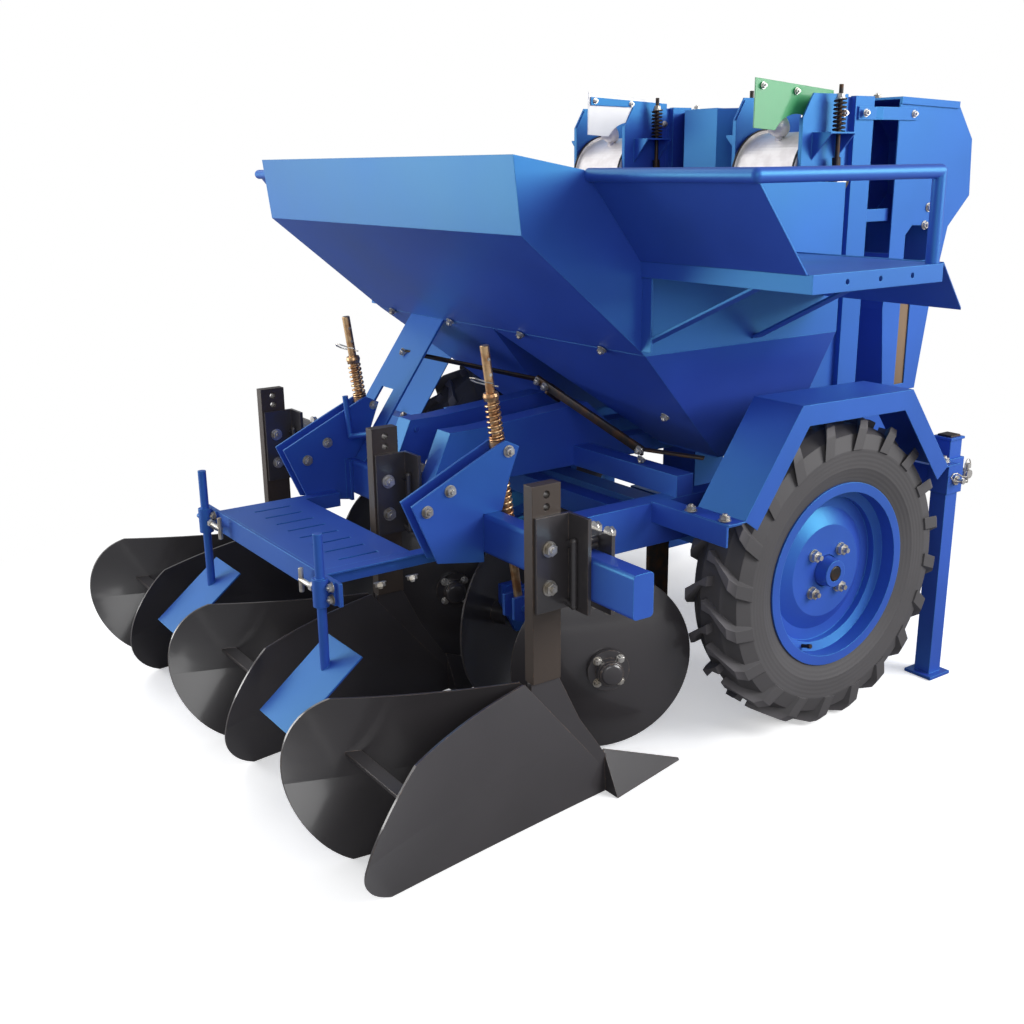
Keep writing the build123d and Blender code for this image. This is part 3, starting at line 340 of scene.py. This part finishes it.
# Bolts and nuts: plain zinc-plated hardware that holds the bolted pieces together. Each one is a
# hex nut with chamfered corners on a washer, with the stud's end standing out of it.
def turned_to(at, direction):
    """The matrix that puts a shape drawn along Z at a point, with its Z along a direction."""
    return Matrix.Translation(at) @ Vector(direction).to_track_quat("Z", "Y").to_matrix().to_4x4()


def edges_of(verts):
    """The edges that meet at the given vertices, each once and in a fixed order."""
    return list(dict.fromkeys(e for v in verts for e in v.link_edges))


def add_drum(bm, at, direction, radius, length, segments=20, top=None, soft=0.0006):
    """A turned plug whose foot is at a point: its far end may be narrower, and its rims are broken."""
    axis = Vector(direction).normalized()
    middle = Vector(at) + axis * length / 2
    made = bmesh.ops.create_cone(bm, cap_ends=True, segments=segments, radius1=radius,
                                 radius2=radius if top is None else top, depth=length,
                                 matrix=turned_to(middle, axis))
    if soft:
        faces = dict.fromkeys(f for v in made["verts"] for f in v.link_faces)
        for face in faces:
            face.normal_update()
        rims = list(dict.fromkeys(e for f in faces if abs(f.normal.dot(axis)) > 0.9 for e in f.edges))
        bmesh.ops.bevel(bm, geom=rims, offset=soft, segments=1, profile=0.5, material=-1, affect="EDGES")


def add_bolt(bm, at, direction, size, stud=0.004):
    """A washer, a hex nut and the end of its stud; size is the thread's diameter in metres."""
    axis = Vector(direction).normalized()
    washer, nut = size * 0.18, size * 0.72
    add_drum(bm, at, axis, size * 1.15, washer, 24, soft=0)
    add_drum(bm, at + axis * washer, axis, size * 0.92, nut, 6, soft=size * 0.07)
    add_drum(bm, at + axis * (washer + nut), axis, size * 0.47, stud, 14, top=size * 0.4, soft=0)


def finish_piece(name, bm, material, body):
    """Turn a bmesh into a piece that rides on a body, with its sharp corners kept sharp."""
    bmesh.ops.recalc_face_normals(bm, faces=bm.faces)
    mesh = bpy.data.meshes.new(name)
    bm.to_mesh(mesh)
    bm.free()
    for face in mesh.polygons:
        face.use_smooth = True
    mesh.set_sharp_from_angle(angle=radians(34))
    mesh.materials.append(material)
    piece = bpy.data.objects.new(name, mesh)
    bpy.context.scene.collection.objects.link(piece)
    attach(piece, body)
    return piece


def plated_metal(name, colour, rough, stain):
    """Plated or bare metal: stains and dull places that follow one cloudy noise."""
    material = bpy.data.materials.new(name)
    material.use_nodes = True
    tree, add, link = node_maker(material)
    shader = tree.nodes["Principled BSDF"]
    cloud = add("TexNoise")
    cloud.inputs["Scale"].default_value = 38
    cloud.inputs["Detail"].default_value = 4
    link(add("TexCoord").outputs["Object"], cloud.inputs["Vector"])
    shades = add("ValToRGB")
    shades.color_ramp.elements[0].position = 0.36
    shades.color_ramp.elements[0].color = (*stain, 1)
    shades.color_ramp.elements[1].position = 0.56
    shades.color_ramp.elements[1].color = (*colour, 1)
    link(cloud.outputs["Fac"], shades.inputs["Fac"])
    link(shades.outputs["Color"], shader.inputs["Base Color"])
    shader.inputs["Metallic"].default_value = 0.85
    dull = add("MapRange")
    dull.inputs["To Min"].default_value = rough + 0.14
    dull.inputs["To Max"].default_value = rough - 0.1
    link(cloud.outputs["Fac"], dull.inputs["Value"])
    link(dull.outputs["Result"], shader.inputs["Roughness"])
    return material


zinc = plated_metal("zinc", (0.62, 0.6, 0.57), 0.36, (0.4, 0.36, 0.3))
RIGHT, LEFT, FRONT, BACK, UP = (1, 0, 0), (-1, 0, 0), (0, 1, 0), (0, -1, 0), (0, 0, 1)
SLOPE = (0, -0.635, -0.772)
# Columns: x, y, z of the seat in mm, direction, thread size in m
frame_bolts = [
    (345, -836, 634, RIGHT, 0.012), (345, -894, 598, RIGHT, 0.012), (345, -684, 699, RIGHT, 0.012),
    (-293, -809, 618, RIGHT, 0.012), (-293, -867, 580, RIGHT, 0.012), (-293, -672, 700, RIGHT, 0.01),
    (287, -761, 535, BACK, 0.01), (-373, -761, 535, BACK, 0.01),
    (660, -808, 582, RIGHT, 0.014), (660, -808, 502, RIGHT, 0.014), (22, -808, 582, RIGHT, 0.014),
    (22, -808, 502, RIGHT, 0.014), (-616, -808, 582, RIGHT, 0.014), (-616, -808, 502, RIGHT, 0.014),
    (620, -398, 578, UP, 0.012), (717, -393, 578, UP, 0.012), (-620, -398, 578, UP, 0.012),
    (-717, -393, 578, UP, 0.012), (620, 345, 592, UP, 0.012), (717, 345, 592, UP, 0.012),
    (310, -995, 454, (0.3, 0, -1), 0.012), (312, -918, 454, (0.3, 0, -1), 0.012),
]
hopper_bolts = [
    (-490, -492, 913, SLOPE, 0.010), (-190, -492, 913, SLOPE, 0.010),
    (123, -492, 913, SLOPE, 0.010), (428, -492, 913, SLOPE, 0.010),
    (400, -6, 1463, RIGHT, 0.007), (400, 105, 1453, RIGHT, 0.007),
    (-206, -8, 1457, RIGHT, 0.007), (-206, 118, 1451, RIGHT, 0.007),
    (457, 285, 1405, RIGHT, 0.008), (455, 468, 1405, RIGHT, 0.008),
    (-445, 285, 1405, LEFT, 0.009), (-455, 468, 1405, LEFT, 0.009),
    (450, 562, 1179, RIGHT, 0.01), (450, 551, 1135, RIGHT, 0.01),
    (432, 215, 1068, RIGHT, 0.008), (432, 240, 1131, RIGHT, 0.008),
    (-206, 240, 1400, RIGHT, 0.008), (432, 238, 1405, RIGHT, 0.008),
    (330, 480, 1447, UP, 0.010), (-330, 480, 1447, UP, 0.010),
]
for name, table in (("frame_bolts", frame_bolts), ("hopper_bolts", hopper_bolts)):
    bm = bmesh.new()
    for x, y, z, direction, size in table:
        add_bolt(bm, place(x, y, z), direction, size)
    finish_piece(name, bm, zinc, "frame")


# Wheel hardware: four zinc nuts hold each wheel to its hub, and a pressed black cap keeps dirt out of
# the hub's bearing. The inner tube's valve, a turned stem with a screw cap, stands out of the rim.
def wheel_hardware(side_name, side):
    """The nuts on the wheel's disc, the valve and the hub's cap, all of which turn with the wheel."""
    axle_z, bolt_circle, disc_face, hub_face = 370, 65, 664, 683
    valve_y = -65
    out = Vector((side, 0, 0))
    bm = bmesh.new()
    for i in range(4):
        turn = radians(45 + 90 * i)
        at = place(side * disc_face, bolt_circle * cos(turn), axle_z + bolt_circle * sin(turn))
        add_drum(bm, at, out, 0.0155, 0.003, 24, soft=0)
        add_drum(bm, at + out * 0.003, out, 0.0142, 0.012, 6, soft=0.0012)
        add_drum(bm, at + out * 0.014, out, 0.0072, 0.011, 16, top=0.006, soft=0)
    finish_piece(f"wheel_nuts_{side_name}", bm, zinc, f"wheel_{side_name}")
    bm = bmesh.new()
    add_drum(bm, place(side * 653, valve_y, 192), (side, 0, 0.25), 0.0045, 0.030, 12)
    add_drum(bm, place(side * 680, valve_y, 199), (side, 0, 0.25), 0.0055, 0.010, 12)
    finish_piece(f"valve_{side_name}", bm, dark_steel, f"wheel_{side_name}")
    bm = bmesh.new()
    add_drum(bm, place(side * hub_face, 0, axle_z), out, 0.021, 0.012, 32, top=0.017, soft=0.002)
    finish_piece(f"hub_cap_{side_name}", bm, dark_steel, f"wheel_{side_name}")


dark_steel = plated_metal("dark_steel", (0.045, 0.04, 0.038), 0.5, (0.09, 0.05, 0.03))
for side_name, side in (("left", -1), ("right", 1)):
    wheel_hardware(side_name, side)


# Sprung rods: yellow-plated round bars that push the disc arms down. Each carries two coil springs, a
# pressed collar, a trunnion between the ear plates and a wire clip through one of its cross holes.
def add_spring(bm, start, end, radius, wire, turns):
    """A round wire wound from one point to another."""
    steps = 18
    axis = (end - start).normalized()
    side = axis.orthogonal().normalized()
    across = axis.cross(side)
    around = Matrix((side, axis, across)).transposed().to_4x4()
    ring = bmesh.ops.create_circle(bm, cap_ends=False, segments=8, radius=wire,
                                   matrix=Matrix.Translation(start + side * (radius - wire)) @ around)
    count = int(turns * steps)
    rim = ring["verts"] + edges_of(ring["verts"])
    bmesh.ops.spin(bm, geom=rim, cent=start, axis=axis, dvec=axis * ((end - start).length / count),
                   angle=2 * pi * turns, steps=count, use_merge=False)


def add_wire(bm, points, radius, segments=8):
    """A bent round wire: straight runs with a ball at each bend."""
    for a, b in zip(points, points[1:]):
        add_drum(bm, a, b - a, radius, (b - a).length, segments, soft=0)
    for p in points[1:-1]:
        bmesh.ops.create_icosphere(bm, subdivisions=2, radius=radius, matrix=Matrix.Translation(p))


def add_clip(bm, at, out, along):
    """A spring clip whose straight leg passes through a hole, with its loop out at one side."""
    out, along = Vector(out).normalized(), Vector(along).normalized()
    loop = [at - out * 0.024, at + out * 0.012, at + out * 0.034 + along * 0.004,
            at + out * 0.044 + along * 0.012, at + out * 0.038 + along * 0.021,
            at + out * 0.022 + along * 0.022, at + along * 0.013, at - out * 0.020 + along * 0.010]
    add_wire(bm, loop, 0.0019)


yellow_zinc = plated_metal("yellow_zinc", (0.72, 0.48, 0.26), 0.34, (0.44, 0.22, 0.1))
row_x = 319
# Places of the pieces along each rod, in metres from its top
collar, upper_coil, closed_end, sleeve = 0.104, 0.122, 0.205, 0.212
pivot, lower_coil, foot = 0.226, 0.244, 0.400
trunnion_half, pin_half = 0.0198, 0.0106
rod_finish = bmesh.new()
rod_clips = bmesh.new()
for side in (-1, 1):
    top, low = place(side * row_x, -725, 931), place(side * row_x, -643, 336)
    axis = (low - top).normalized()
    add_drum(rod_finish, top, axis, 0.010, (low - top).length, 24, soft=0.0015)
    add_drum(rod_finish, top + axis * collar, axis, 0.016, 0.008, 28, top=0.018, soft=0.001)
    add_drum(rod_finish, top + axis * (collar + 0.008), axis, 0.018, 0.010, 28, top=0.015, soft=0.001)
    add_spring(rod_finish, top + axis * upper_coil, top + axis * closed_end, 0.0175, 0.0028, 7)
    add_spring(rod_finish, top + axis * closed_end, top + axis * sleeve, 0.0175, 0.0034, 1.5)
    add_drum(rod_finish, top + axis * sleeve, axis, 0.0165, 0.030, 28, soft=0.001)
    trunnion = top + axis * pivot - Vector(RIGHT) * trunnion_half
    add_drum(rod_finish, trunnion, RIGHT, 0.011, 2 * trunnion_half, 20)
    add_spring(rod_finish, top + axis * lower_coil, top + axis * foot, 0.0165, 0.0028, 12)
    add_drum(rod_finish, top + axis * foot, axis, 0.018, 0.008, 28, soft=0.001)
    for reach in (0.030, 0.064):
        pin = top + axis * reach - Vector(RIGHT) * pin_half
        add_drum(rod_clips, pin, RIGHT, 0.0036, 2 * pin_half, 12, soft=0)
    add_clip(rod_clips, top + axis * 0.088, (-0.8, -0.2, 0), (0, -0.6, 0.5))
sprung = finish_piece("rods_and_coils", rod_finish, yellow_zinc, "frame")
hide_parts("sprung_rods")
finish_piece("rod_clips", rod_clips, zinc, "frame")


# Tension rods: black steel rods with short coil springs that hold up the drum shaft and keep the belts
# tight. Each ends in a round clamp on the shaft and has a zinc nut and washer on top of its spring.
shaft_clamps = (-461, -177, 177, 461)
drum_y, drum_z = 200, 1255
tension_y, spring_low, spring_high = 187, 1362, 1435
bm = bmesh.new()
for x in shaft_clamps:
    add_drum(bm, place(x, tension_y, drum_z + 25), UP, 0.0055, 0.187, 16, top=0.005)
    add_spring(bm, place(x, tension_y, spring_low), place(x, tension_y, spring_high), 0.0155, 0.0022, 8)
    add_drum(bm, place(x, tension_y, spring_low - 4), UP, 0.0165, 0.003, 24, soft=0)
    add_drum(bm, place(x - 10, drum_y, drum_z), RIGHT, 0.029, 0.017, 32, soft=0.002)
    add_drum(bm, place(x - 6, drum_y - 6, drum_z + 23), (0, -0.1, 1), 0.010, 0.026, 16)
tension = finish_piece("tension_springs", bm, dark_steel, "frame")
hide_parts("tension_rods")
bm = bmesh.new()
for x in shaft_clamps:
    add_drum(bm, place(x, tension_y, spring_high), UP, 0.012, 0.003, 24, soft=0)
    add_drum(bm, place(x, tension_y, spring_high + 3), UP, 0.0095, 0.009, 6, soft=0.0009)
finish_piece("tension_nuts", bm, zinc, "frame")


# Adjusting rods: black steel bars beside the units that raise and lower a stop. The upper part is a
# rolled thread, the foot is square, and zinc nuts lock each rod above and below its bracket.
rods_x, rods_y = (-470, 470), 122
square_foot, thread_low = 918, 1124
thread_turns, thread_pitch = 46, 2.5
bm = bmesh.new()
for x in rods_x:
    add_drum(bm, place(x, rods_y, square_foot + 12), UP, 0.0062, 0.310, 16, top=0.0056)
    add_drum(bm, place(x, rods_y, square_foot), UP, 0.017, 0.020, 4, soft=0.002)
    for i in range(thread_turns):
        add_drum(bm, place(x, rods_y, thread_low + thread_pitch * i), UP, 0.0066, 0.0011, 12, soft=0)
adjusters = finish_piece("adjusting_screws", bm, dark_steel, "frame")
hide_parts("adjusting_rods")
bm = bmesh.new()
for x in rods_x:
    for z in (thread_low, thread_low - 14, thread_low - 46):
        add_drum(bm, place(x, rods_y, z), UP, 0.0135, 0.010, 6, soft=0.001)
finish_piece("adjusting_nuts", bm, zinc, "frame")


# Stand legs: square tubes that slide in sleeves at the front of the frame. A zinc pin goes through
# sleeve and leg on each side, a wire clip keeps it in, and a pressed cap closes the leg's top.
stand_x, stand_y, pin_z, leg_end = 670, 422, 530, 638
bm = bmesh.new()
for side in (-1, 1):
    add_drum(bm, place(side * (stand_x + 29), stand_y, pin_z), (side, 0, 0), 0.0125, 0.006, 24)
    add_drum(bm, place(side * (stand_x + 35), stand_y, pin_z), (side, 0, 0), 0.0065, 0.020, 16)
    add_clip(bm, place(side * (stand_x + 46), stand_y, pin_z), (0, -1, 0.1), (side * 0.1, 0, 1))
finish_piece("stand_pins", bm, zinc, "frame")
for side_name, side in (("left", -1), ("right", 1)):
    leg_top = place(side * stand_x, stand_y, leg_end)
    bm = bmesh.new()
    add_drum(bm, leg_top, UP, 0.028, 0.005, 4, top=0.026)
    bmesh.ops.rotate(bm, cent=leg_top, matrix=Matrix.Rotation(pi / 4, 3, "Z"), verts=bm.verts)
    finish_piece(f"stand_cap_{side_name}", bm, dark_steel, f"stand_{side_name}")


# Linch pins: zinc-plated pins with a sprung wire hoop, dropped through the cross holes in the ends of
# the two link pins. The hoop snaps round the pin's end, so that the tractor's link can't slip off.
hole_x, link_y, link_z = 499.5, 770, 450
hoop_bends = 8
bm = bmesh.new()
for side in (-1, 1):
    at = place(side * hole_x, link_y, link_z)
    add_drum(bm, at + Vector((0, 0, -0.026)), UP, 0.0048, 0.050, 16)
    add_drum(bm, at + Vector((0, 0, 0.017)), UP, 0.009, 0.012, 16, soft=0.001)
    turns = [pi * k / hoop_bends for k in range(hoop_bends + 1)]
    hoop = [Vector((0, 0.012 * cos(a), 0.022 + 0.020 * sin(a))) for a in turns]
    hoop += [Vector((0, -0.014, -0.006)), Vector((side * 0.004, -0.012, -0.018))]
    add_wire(bm, [at + p for p in hoop], 0.0016)
finish_piece("linch_pins", bm, zinc, "frame")


# Picking belts: they carry deep-drawn bare steel cups over a polished drum. The belt is one band,
# painted bright metal over the drum, where it is lit, and dark with ribs on the rising run, where it is
# in shade.
# A black rubber seal is pressed over each rim of the drums.
def lit_and_shaded_belt():
    """Bright metal on the cups, a painted highlight over the drum, and painted shade on the straight
    run's face.
    """
    drum = place(0, drum_y, drum_z)
    belt_face, run_top = 0.1108, 1.235
    material = plated_metal("belt_and_cups", (0.8, 0.765, 0.755), 0.34, (0.73, 0.69, 0.68))
    tree, add, link = node_maker(material)
    shader = tree.nodes["Principled BSDF"]
    apart = add("SeparateXYZ")
    link(add("TexCoord").outputs["Object"], apart.inputs[0])
    front = add("Math", operation="SUBTRACT")
    front.inputs[1].default_value = drum.y
    link(apart.outputs["Y"], front.inputs[0])
    above = add("Math", operation="SUBTRACT")
    above.inputs[1].default_value = drum.z
    link(apart.outputs["Z"], above.inputs[0])
    lifted = add("Math", operation="MAXIMUM")
    lifted.inputs[1].default_value = 0
    link(above.outputs[0], lifted.inputs[0])
    flat = add("CombineXYZ")
    link(front.outputs[0], flat.inputs["Y"])
    link(lifted.outputs[0], flat.inputs["Z"])
    reach = add("VectorMath", operation="LENGTH")
    link(flat.outputs[0], reach.inputs[0])
    inside = add("Math", operation="LESS_THAN")
    inside.inputs[1].default_value = belt_face
    link(reach.outputs["Value"], inside.inputs[0])
    below = add("Math", operation="LESS_THAN")
    below.inputs[1].default_value = run_top
    link(apart.outputs["Z"], below.inputs[0])
    shaded_run = add("Math", operation="MULTIPLY")
    link(inside.outputs[0], shaded_run.inputs[0])
    link(below.outputs[0], shaded_run.inputs[1])
    # Painted light: the belt's face is dark on the straight run below the drum and bright metal over it,
    # though it is one band.
    colour = shader.inputs["Base Color"].links[0].from_socket
    lit_and_shaded = add("Mix", data_type="RGBA")
    link(shaded_run.outputs[0], lit_and_shaded.inputs["Factor"])
    link(colour, lit_and_shaded.inputs["A"])
    lit_and_shaded.inputs["B"].default_value = (0.05, 0.045, 0.042, 1)
    link(lit_and_shaded.outputs["Result"], shader.inputs["Base Color"])
    shine = add("MapRange")
    shine.inputs["To Min"].default_value = 0.35
    shine.inputs["To Max"].default_value = 0
    link(shaded_run.outputs[0], shine.inputs["Value"])
    link(shine.outputs["Result"], shader.inputs["Metallic"])
    weave = add("TexWave", wave_type="BANDS", bands_direction="Z")
    weave.inputs["Scale"].default_value = 46
    weave.inputs["Distortion"].default_value = 0.4
    link(apart.outputs["Z"], weave.inputs["Vector"])
    bump = add("Bump")
    bump.inputs["Strength"].default_value = 0.2
    bump.inputs["Distance"].default_value = 0.001
    link(weave.outputs["Fac"], bump.inputs["Height"])
    link(bump.outputs["Normal"], shader.inputs["Normal"])
    return material


polished_steel = plated_metal("polished_steel", (0.86, 0.82, 0.8), 0.4, (0.7, 0.64, 0.61))
polished_steel.node_tree.nodes["Principled BSDF"].inputs["Metallic"].default_value = 0.3
finish_nodes(lit_and_shaded_belt(), "cup_belts")
finish_nodes(polished_steel, "drum_shaft")

black_rubber = painted_steel("black_rubber", (0.03, 0.029, 0.03), rough=0.6, coat=0, wear_and_highlight=0)
drum_half = 97.5
seal_reach = Vector(FRONT) * 0.1172
bm = bmesh.new()
for row in (-row_x, row_x):
    for rim in (-drum_half, drum_half):
        centre = place(row + rim, drum_y, drum_z)
        seal = bmesh.ops.create_circle(bm, cap_ends=False, segments=10, radius=0.0027,
                                       matrix=Matrix.Translation(centre + seal_reach))
        bmesh.ops.spin(bm, geom=seal["verts"] + edges_of(seal["verts"]), cent=centre, axis=RIGHT,
                       angle=2 * pi, steps=96, use_merge=True)
finish_piece("drum_seals", bm, black_rubber, "frame")


# Sorting plates: thin steel sheets that brush double tubers off the cups as they pass the top. They
# are bolted above the drums, and the right one is painted green and the left one white.
green_paint = painted_steel("green_paint", (0.05, 0.33, 0.12), rough=0.4, coat=0.2, wear_and_highlight=0.3)
white_paint = painted_steel("white_paint", (0.9, 0.89, 0.88), rough=0.4, coat=0.2, wear_and_highlight=0.3)
finish_nodes(green_paint, "sorting_plate_right")
finish_nodes(white_paint, "sorting_plate_left")


# Slot strips: brown rubber sheets clamped behind the upright slot in each duct's outer side. Pushed
# aside by hand, they let a jammed tuber be freed.
def add_slab(bm, low, high):
    """A flat piece between two corners in mm, with its edges broken."""
    a, b = place(*low), place(*high)
    made = bmesh.ops.create_cube(bm, size=1, matrix=Matrix.Translation((a + b) / 2)
                                 @ Matrix.Diagonal((*(b - a), 1)))
    bmesh.ops.bevel(bm, geom=edges_of(made["verts"]), offset=0.0008, segments=2, profile=0.5,
                    material=-1, affect="EDGES")


brown_rubber = painted_steel("brown_rubber", (0.2, 0.13, 0.075), rough=0.7, coat=0, wear_and_highlight=0)
bm = bmesh.new()
for side in (-1, 1):
    low, high = sorted((side * 441.5, side * 446))
    add_slab(bm, (low, 472, 722), (high, 528, 950))
finish_piece("slot_strips", bm, brown_rubber, "frame")


# Clamp handles: round bars bent to a bow and welded to the flange of each shank clamp, for lifting a
# tool into place, with two short bars running forward from each. Four zinc nuts on the clamp's front
# plate pull it against the toolbar.
tools_x = (638, 0, -638)
handle_y, nut_y = -766, -697
bm = bmesh.new()
for x in tools_x:
    bow = [place(x + 16, handle_y + 3, 580), place(x + 46, handle_y, 596),
           place(x + 46, handle_y, 460), place(x + 16, handle_y + 3, 466)]
    add_wire(bm, bow, 0.0065, 14)
    for z in (576, 588):
        add_drum(bm, place(x + 40, handle_y, z), FRONT, 0.008, 0.060, 16)
finish_piece("clamp_handles", bm, black_paint, "frame")
bm = bmesh.new()
for x in tools_x:
    for across in (22, 65):
        for z in (605, 447):
            add_drum(bm, place(x + across, nut_y, z), FRONT, 0.0135, 0.003, 20, soft=0)
            add_drum(bm, place(x + across, nut_y + 3, z), FRONT, 0.012, 0.010, 6, soft=0.001)
finish_piece("clamp_nuts", bm, zinc, "frame")


# Covering discs: pressed steel bowls, dipped in black. Four bolts hold each to its hub, and a domed cap
# closes the bearing.
def disc_point(row_side, side, out, turn, height):
    """A point on a disc's hub, the given metres from its axle and along it, and the axle's direction."""
    slant, disc_offset = radians(22), 221
    axis = Vector((side * cos(slant), -sin(slant), 0))
    flat = Vector((side * sin(slant), cos(slant), 0))
    centre = place(row_side * row_x + side * disc_offset, -560, 222)
    return centre + axis * height + (flat * cos(turn) + Vector(UP) * sin(turn)) * out, axis


for side_name, row_side in (("left", -1), ("right", 1)):
    for place_name, side in (("inner", -row_side), ("outer", row_side)):
        body = f"disc_{side_name}_{place_name}"
        bolts, cap = bmesh.new(), bmesh.new()
        for i in range(4):
            at, axis = disc_point(row_side, side, 0.037, radians(45 + 90 * i), 0.0112)
            add_bolt(bolts, at, axis, 0.009, 0.003)
        finish_piece(f"{body}_bolts", bolts, zinc, body)
        at, axis = disc_point(row_side, side, 0, 0, 0.0285)
        add_drum(cap, at, axis, 0.0285, 0.006, 40, top=0.0275, soft=0.001)
        add_drum(cap, at + axis * 0.006, axis, 0.026, 0.005, 40, top=0.021, soft=0.0015)
        finish_piece(f"{body}_cap", cap, black_paint, body)


# Shanks, hangers and link pins: the shanks and the discs' hangers are rolled steel that left the mill
# brown-black, with rust at the edges. The tractor's link pins are turned and zinc-plated.
rolled_steel = painted_steel("rolled_steel", (0.05, 0.036, 0.028), rough=0.48, coat=0.1, wear_and_highlight=0.9,
                             wear_and_highlight_colour=(0.2, 0.1, 0.05))
finish_nodes(rolled_steel, "ridger_shanks")
finish_nodes(dark_steel, "disc_hangers")
finish_nodes(zinc, "hitch_pins")


# Shaper hardware: zinc T-handled screws that clamp the ridge shapers' rods at their height, and four
# bolts that hold each socket's plate to the footboard's rear beam.
rod_y, screw_z, plate_y = -1136, 465, -1121
bm = bmesh.new()
for side in (-1, 1):
    x = side * row_x
    add_drum(bm, place(x - side * 30, rod_y, screw_z), (-side, 0, 0), 0.0095, 0.014, 6, soft=0.0008)
    add_drum(bm, place(x - side * 44, rod_y, screw_z), (-side, 0, 0), 0.006, 0.052, 16)
    add_drum(bm, place(x - side * 92, rod_y, screw_z - 27), UP, 0.0055, 0.054, 16, soft=0.0015)
finish_piece("shaper_screws", bm, zinc, "frame")
bm = bmesh.new()
for side in (-1, 1):
    for across in (-22, 22):
        for z in (screw_z + 13, screw_z - 13):
            add_bolt(bm, place(side * (row_x + across), plate_y, z), BACK, 0.010, 0.003)
finish_piece("shaper_nuts", bm, zinc, "frame")


# Shutter linkage: flat steel bars in black, bolted at their joints, which open the slides between the
# hopper and its two troughs together. The crank below moves them.
def add_bar(bm, start, end, wide, thick, face):
    """A flat bar from one point to another, in metres, whose broad side looks along face."""
    along = (end - start).normalized()
    out = (Vector(face) - along * along.dot(Vector(face))).normalized()
    across = out.cross(along)
    length = (end - start).length + wide * 0.7
    axes = Matrix((across * wide, out * thick, along * length)).transposed().to_4x4()
    made = bmesh.ops.create_cube(bm, size=1, matrix=Matrix.Translation((start + end) / 2) @ axes)
    bmesh.ops.bevel(bm, geom=edges_of(made["verts"]), offset=thick * 0.2, segments=2, profile=0.5,
                    material=-1, affect="EDGES")


left_slide, middle_joint = place(-330, -552, 823), place(34, -366, 776)
right_slide, right_end = place(400, -345, 664), place(505, -262, 652)
bar_lift, bolt_lift = Vector((0, -0.008, 0)), Vector((0, -0.010, 0))
bm = bmesh.new()
add_bar(bm, left_slide, middle_joint, 0.018, 0.006, (0, -0.7, -0.7))
add_bar(bm, middle_joint + bar_lift, right_slide + bar_lift, 0.024, 0.008, (0, -1, -0.2))
add_bar(bm, right_slide, right_end, 0.020, 0.006, UP)
add_bar(bm, place(50, -350, 752), place(50, -325, 735), 0.030, 0.010, RIGHT)
finish_piece("shutter_linkage", bm, dark_steel, "frame")
bm = bmesh.new()
second_bolt = middle_joint + Vector((0.03, -0.01, -0.01))
for at in (left_slide, middle_joint + bolt_lift, right_slide + bolt_lift, second_bolt):
    add_bolt(bm, at, (0, -1, -0.4), 0.010, 0.005)
for at in (place(359, -312, 630), place(442, -317, 745)):
    add_bolt(bm, at, (0, -0.7, -0.7), 0.010)
finish_piece("linkage_bolts", bm, zinc, "frame")


# Crank: a round steel bar bent to a handle and painted blue. It turns in a short welded bush above the
# left centre beam and pulls the linkage.
handle = [place(-272, -762, 737), place(-270, -753, 631), place(-120, -694, 665), place(-60, -676, 676)]
bm = bmesh.new()
add_wire(bm, handle, 0.0075, 14)
add_drum(bm, place(-128, -692, 664), (1, 0.12, 0.2), 0.013, 0.050, 24)
finish_piece("crank", bm, blue_paint, "frame")


# Trough stubs: short pieces of steel tube that stiffen the troughs. They are welded to the troughs'
# left sides, slope down and are painted with them.
trough_half, stub_y, stub_z = 100, -100, 660
bm = bmesh.new()
for row in (-row_x, row_x):
    add_drum(bm, place(row - trough_half, stub_y, stub_z), (-0.87, 0, -0.5), 0.011, 0.078, 24)
finish_piece("trough_stubs", bm, blue_paint, "frame")
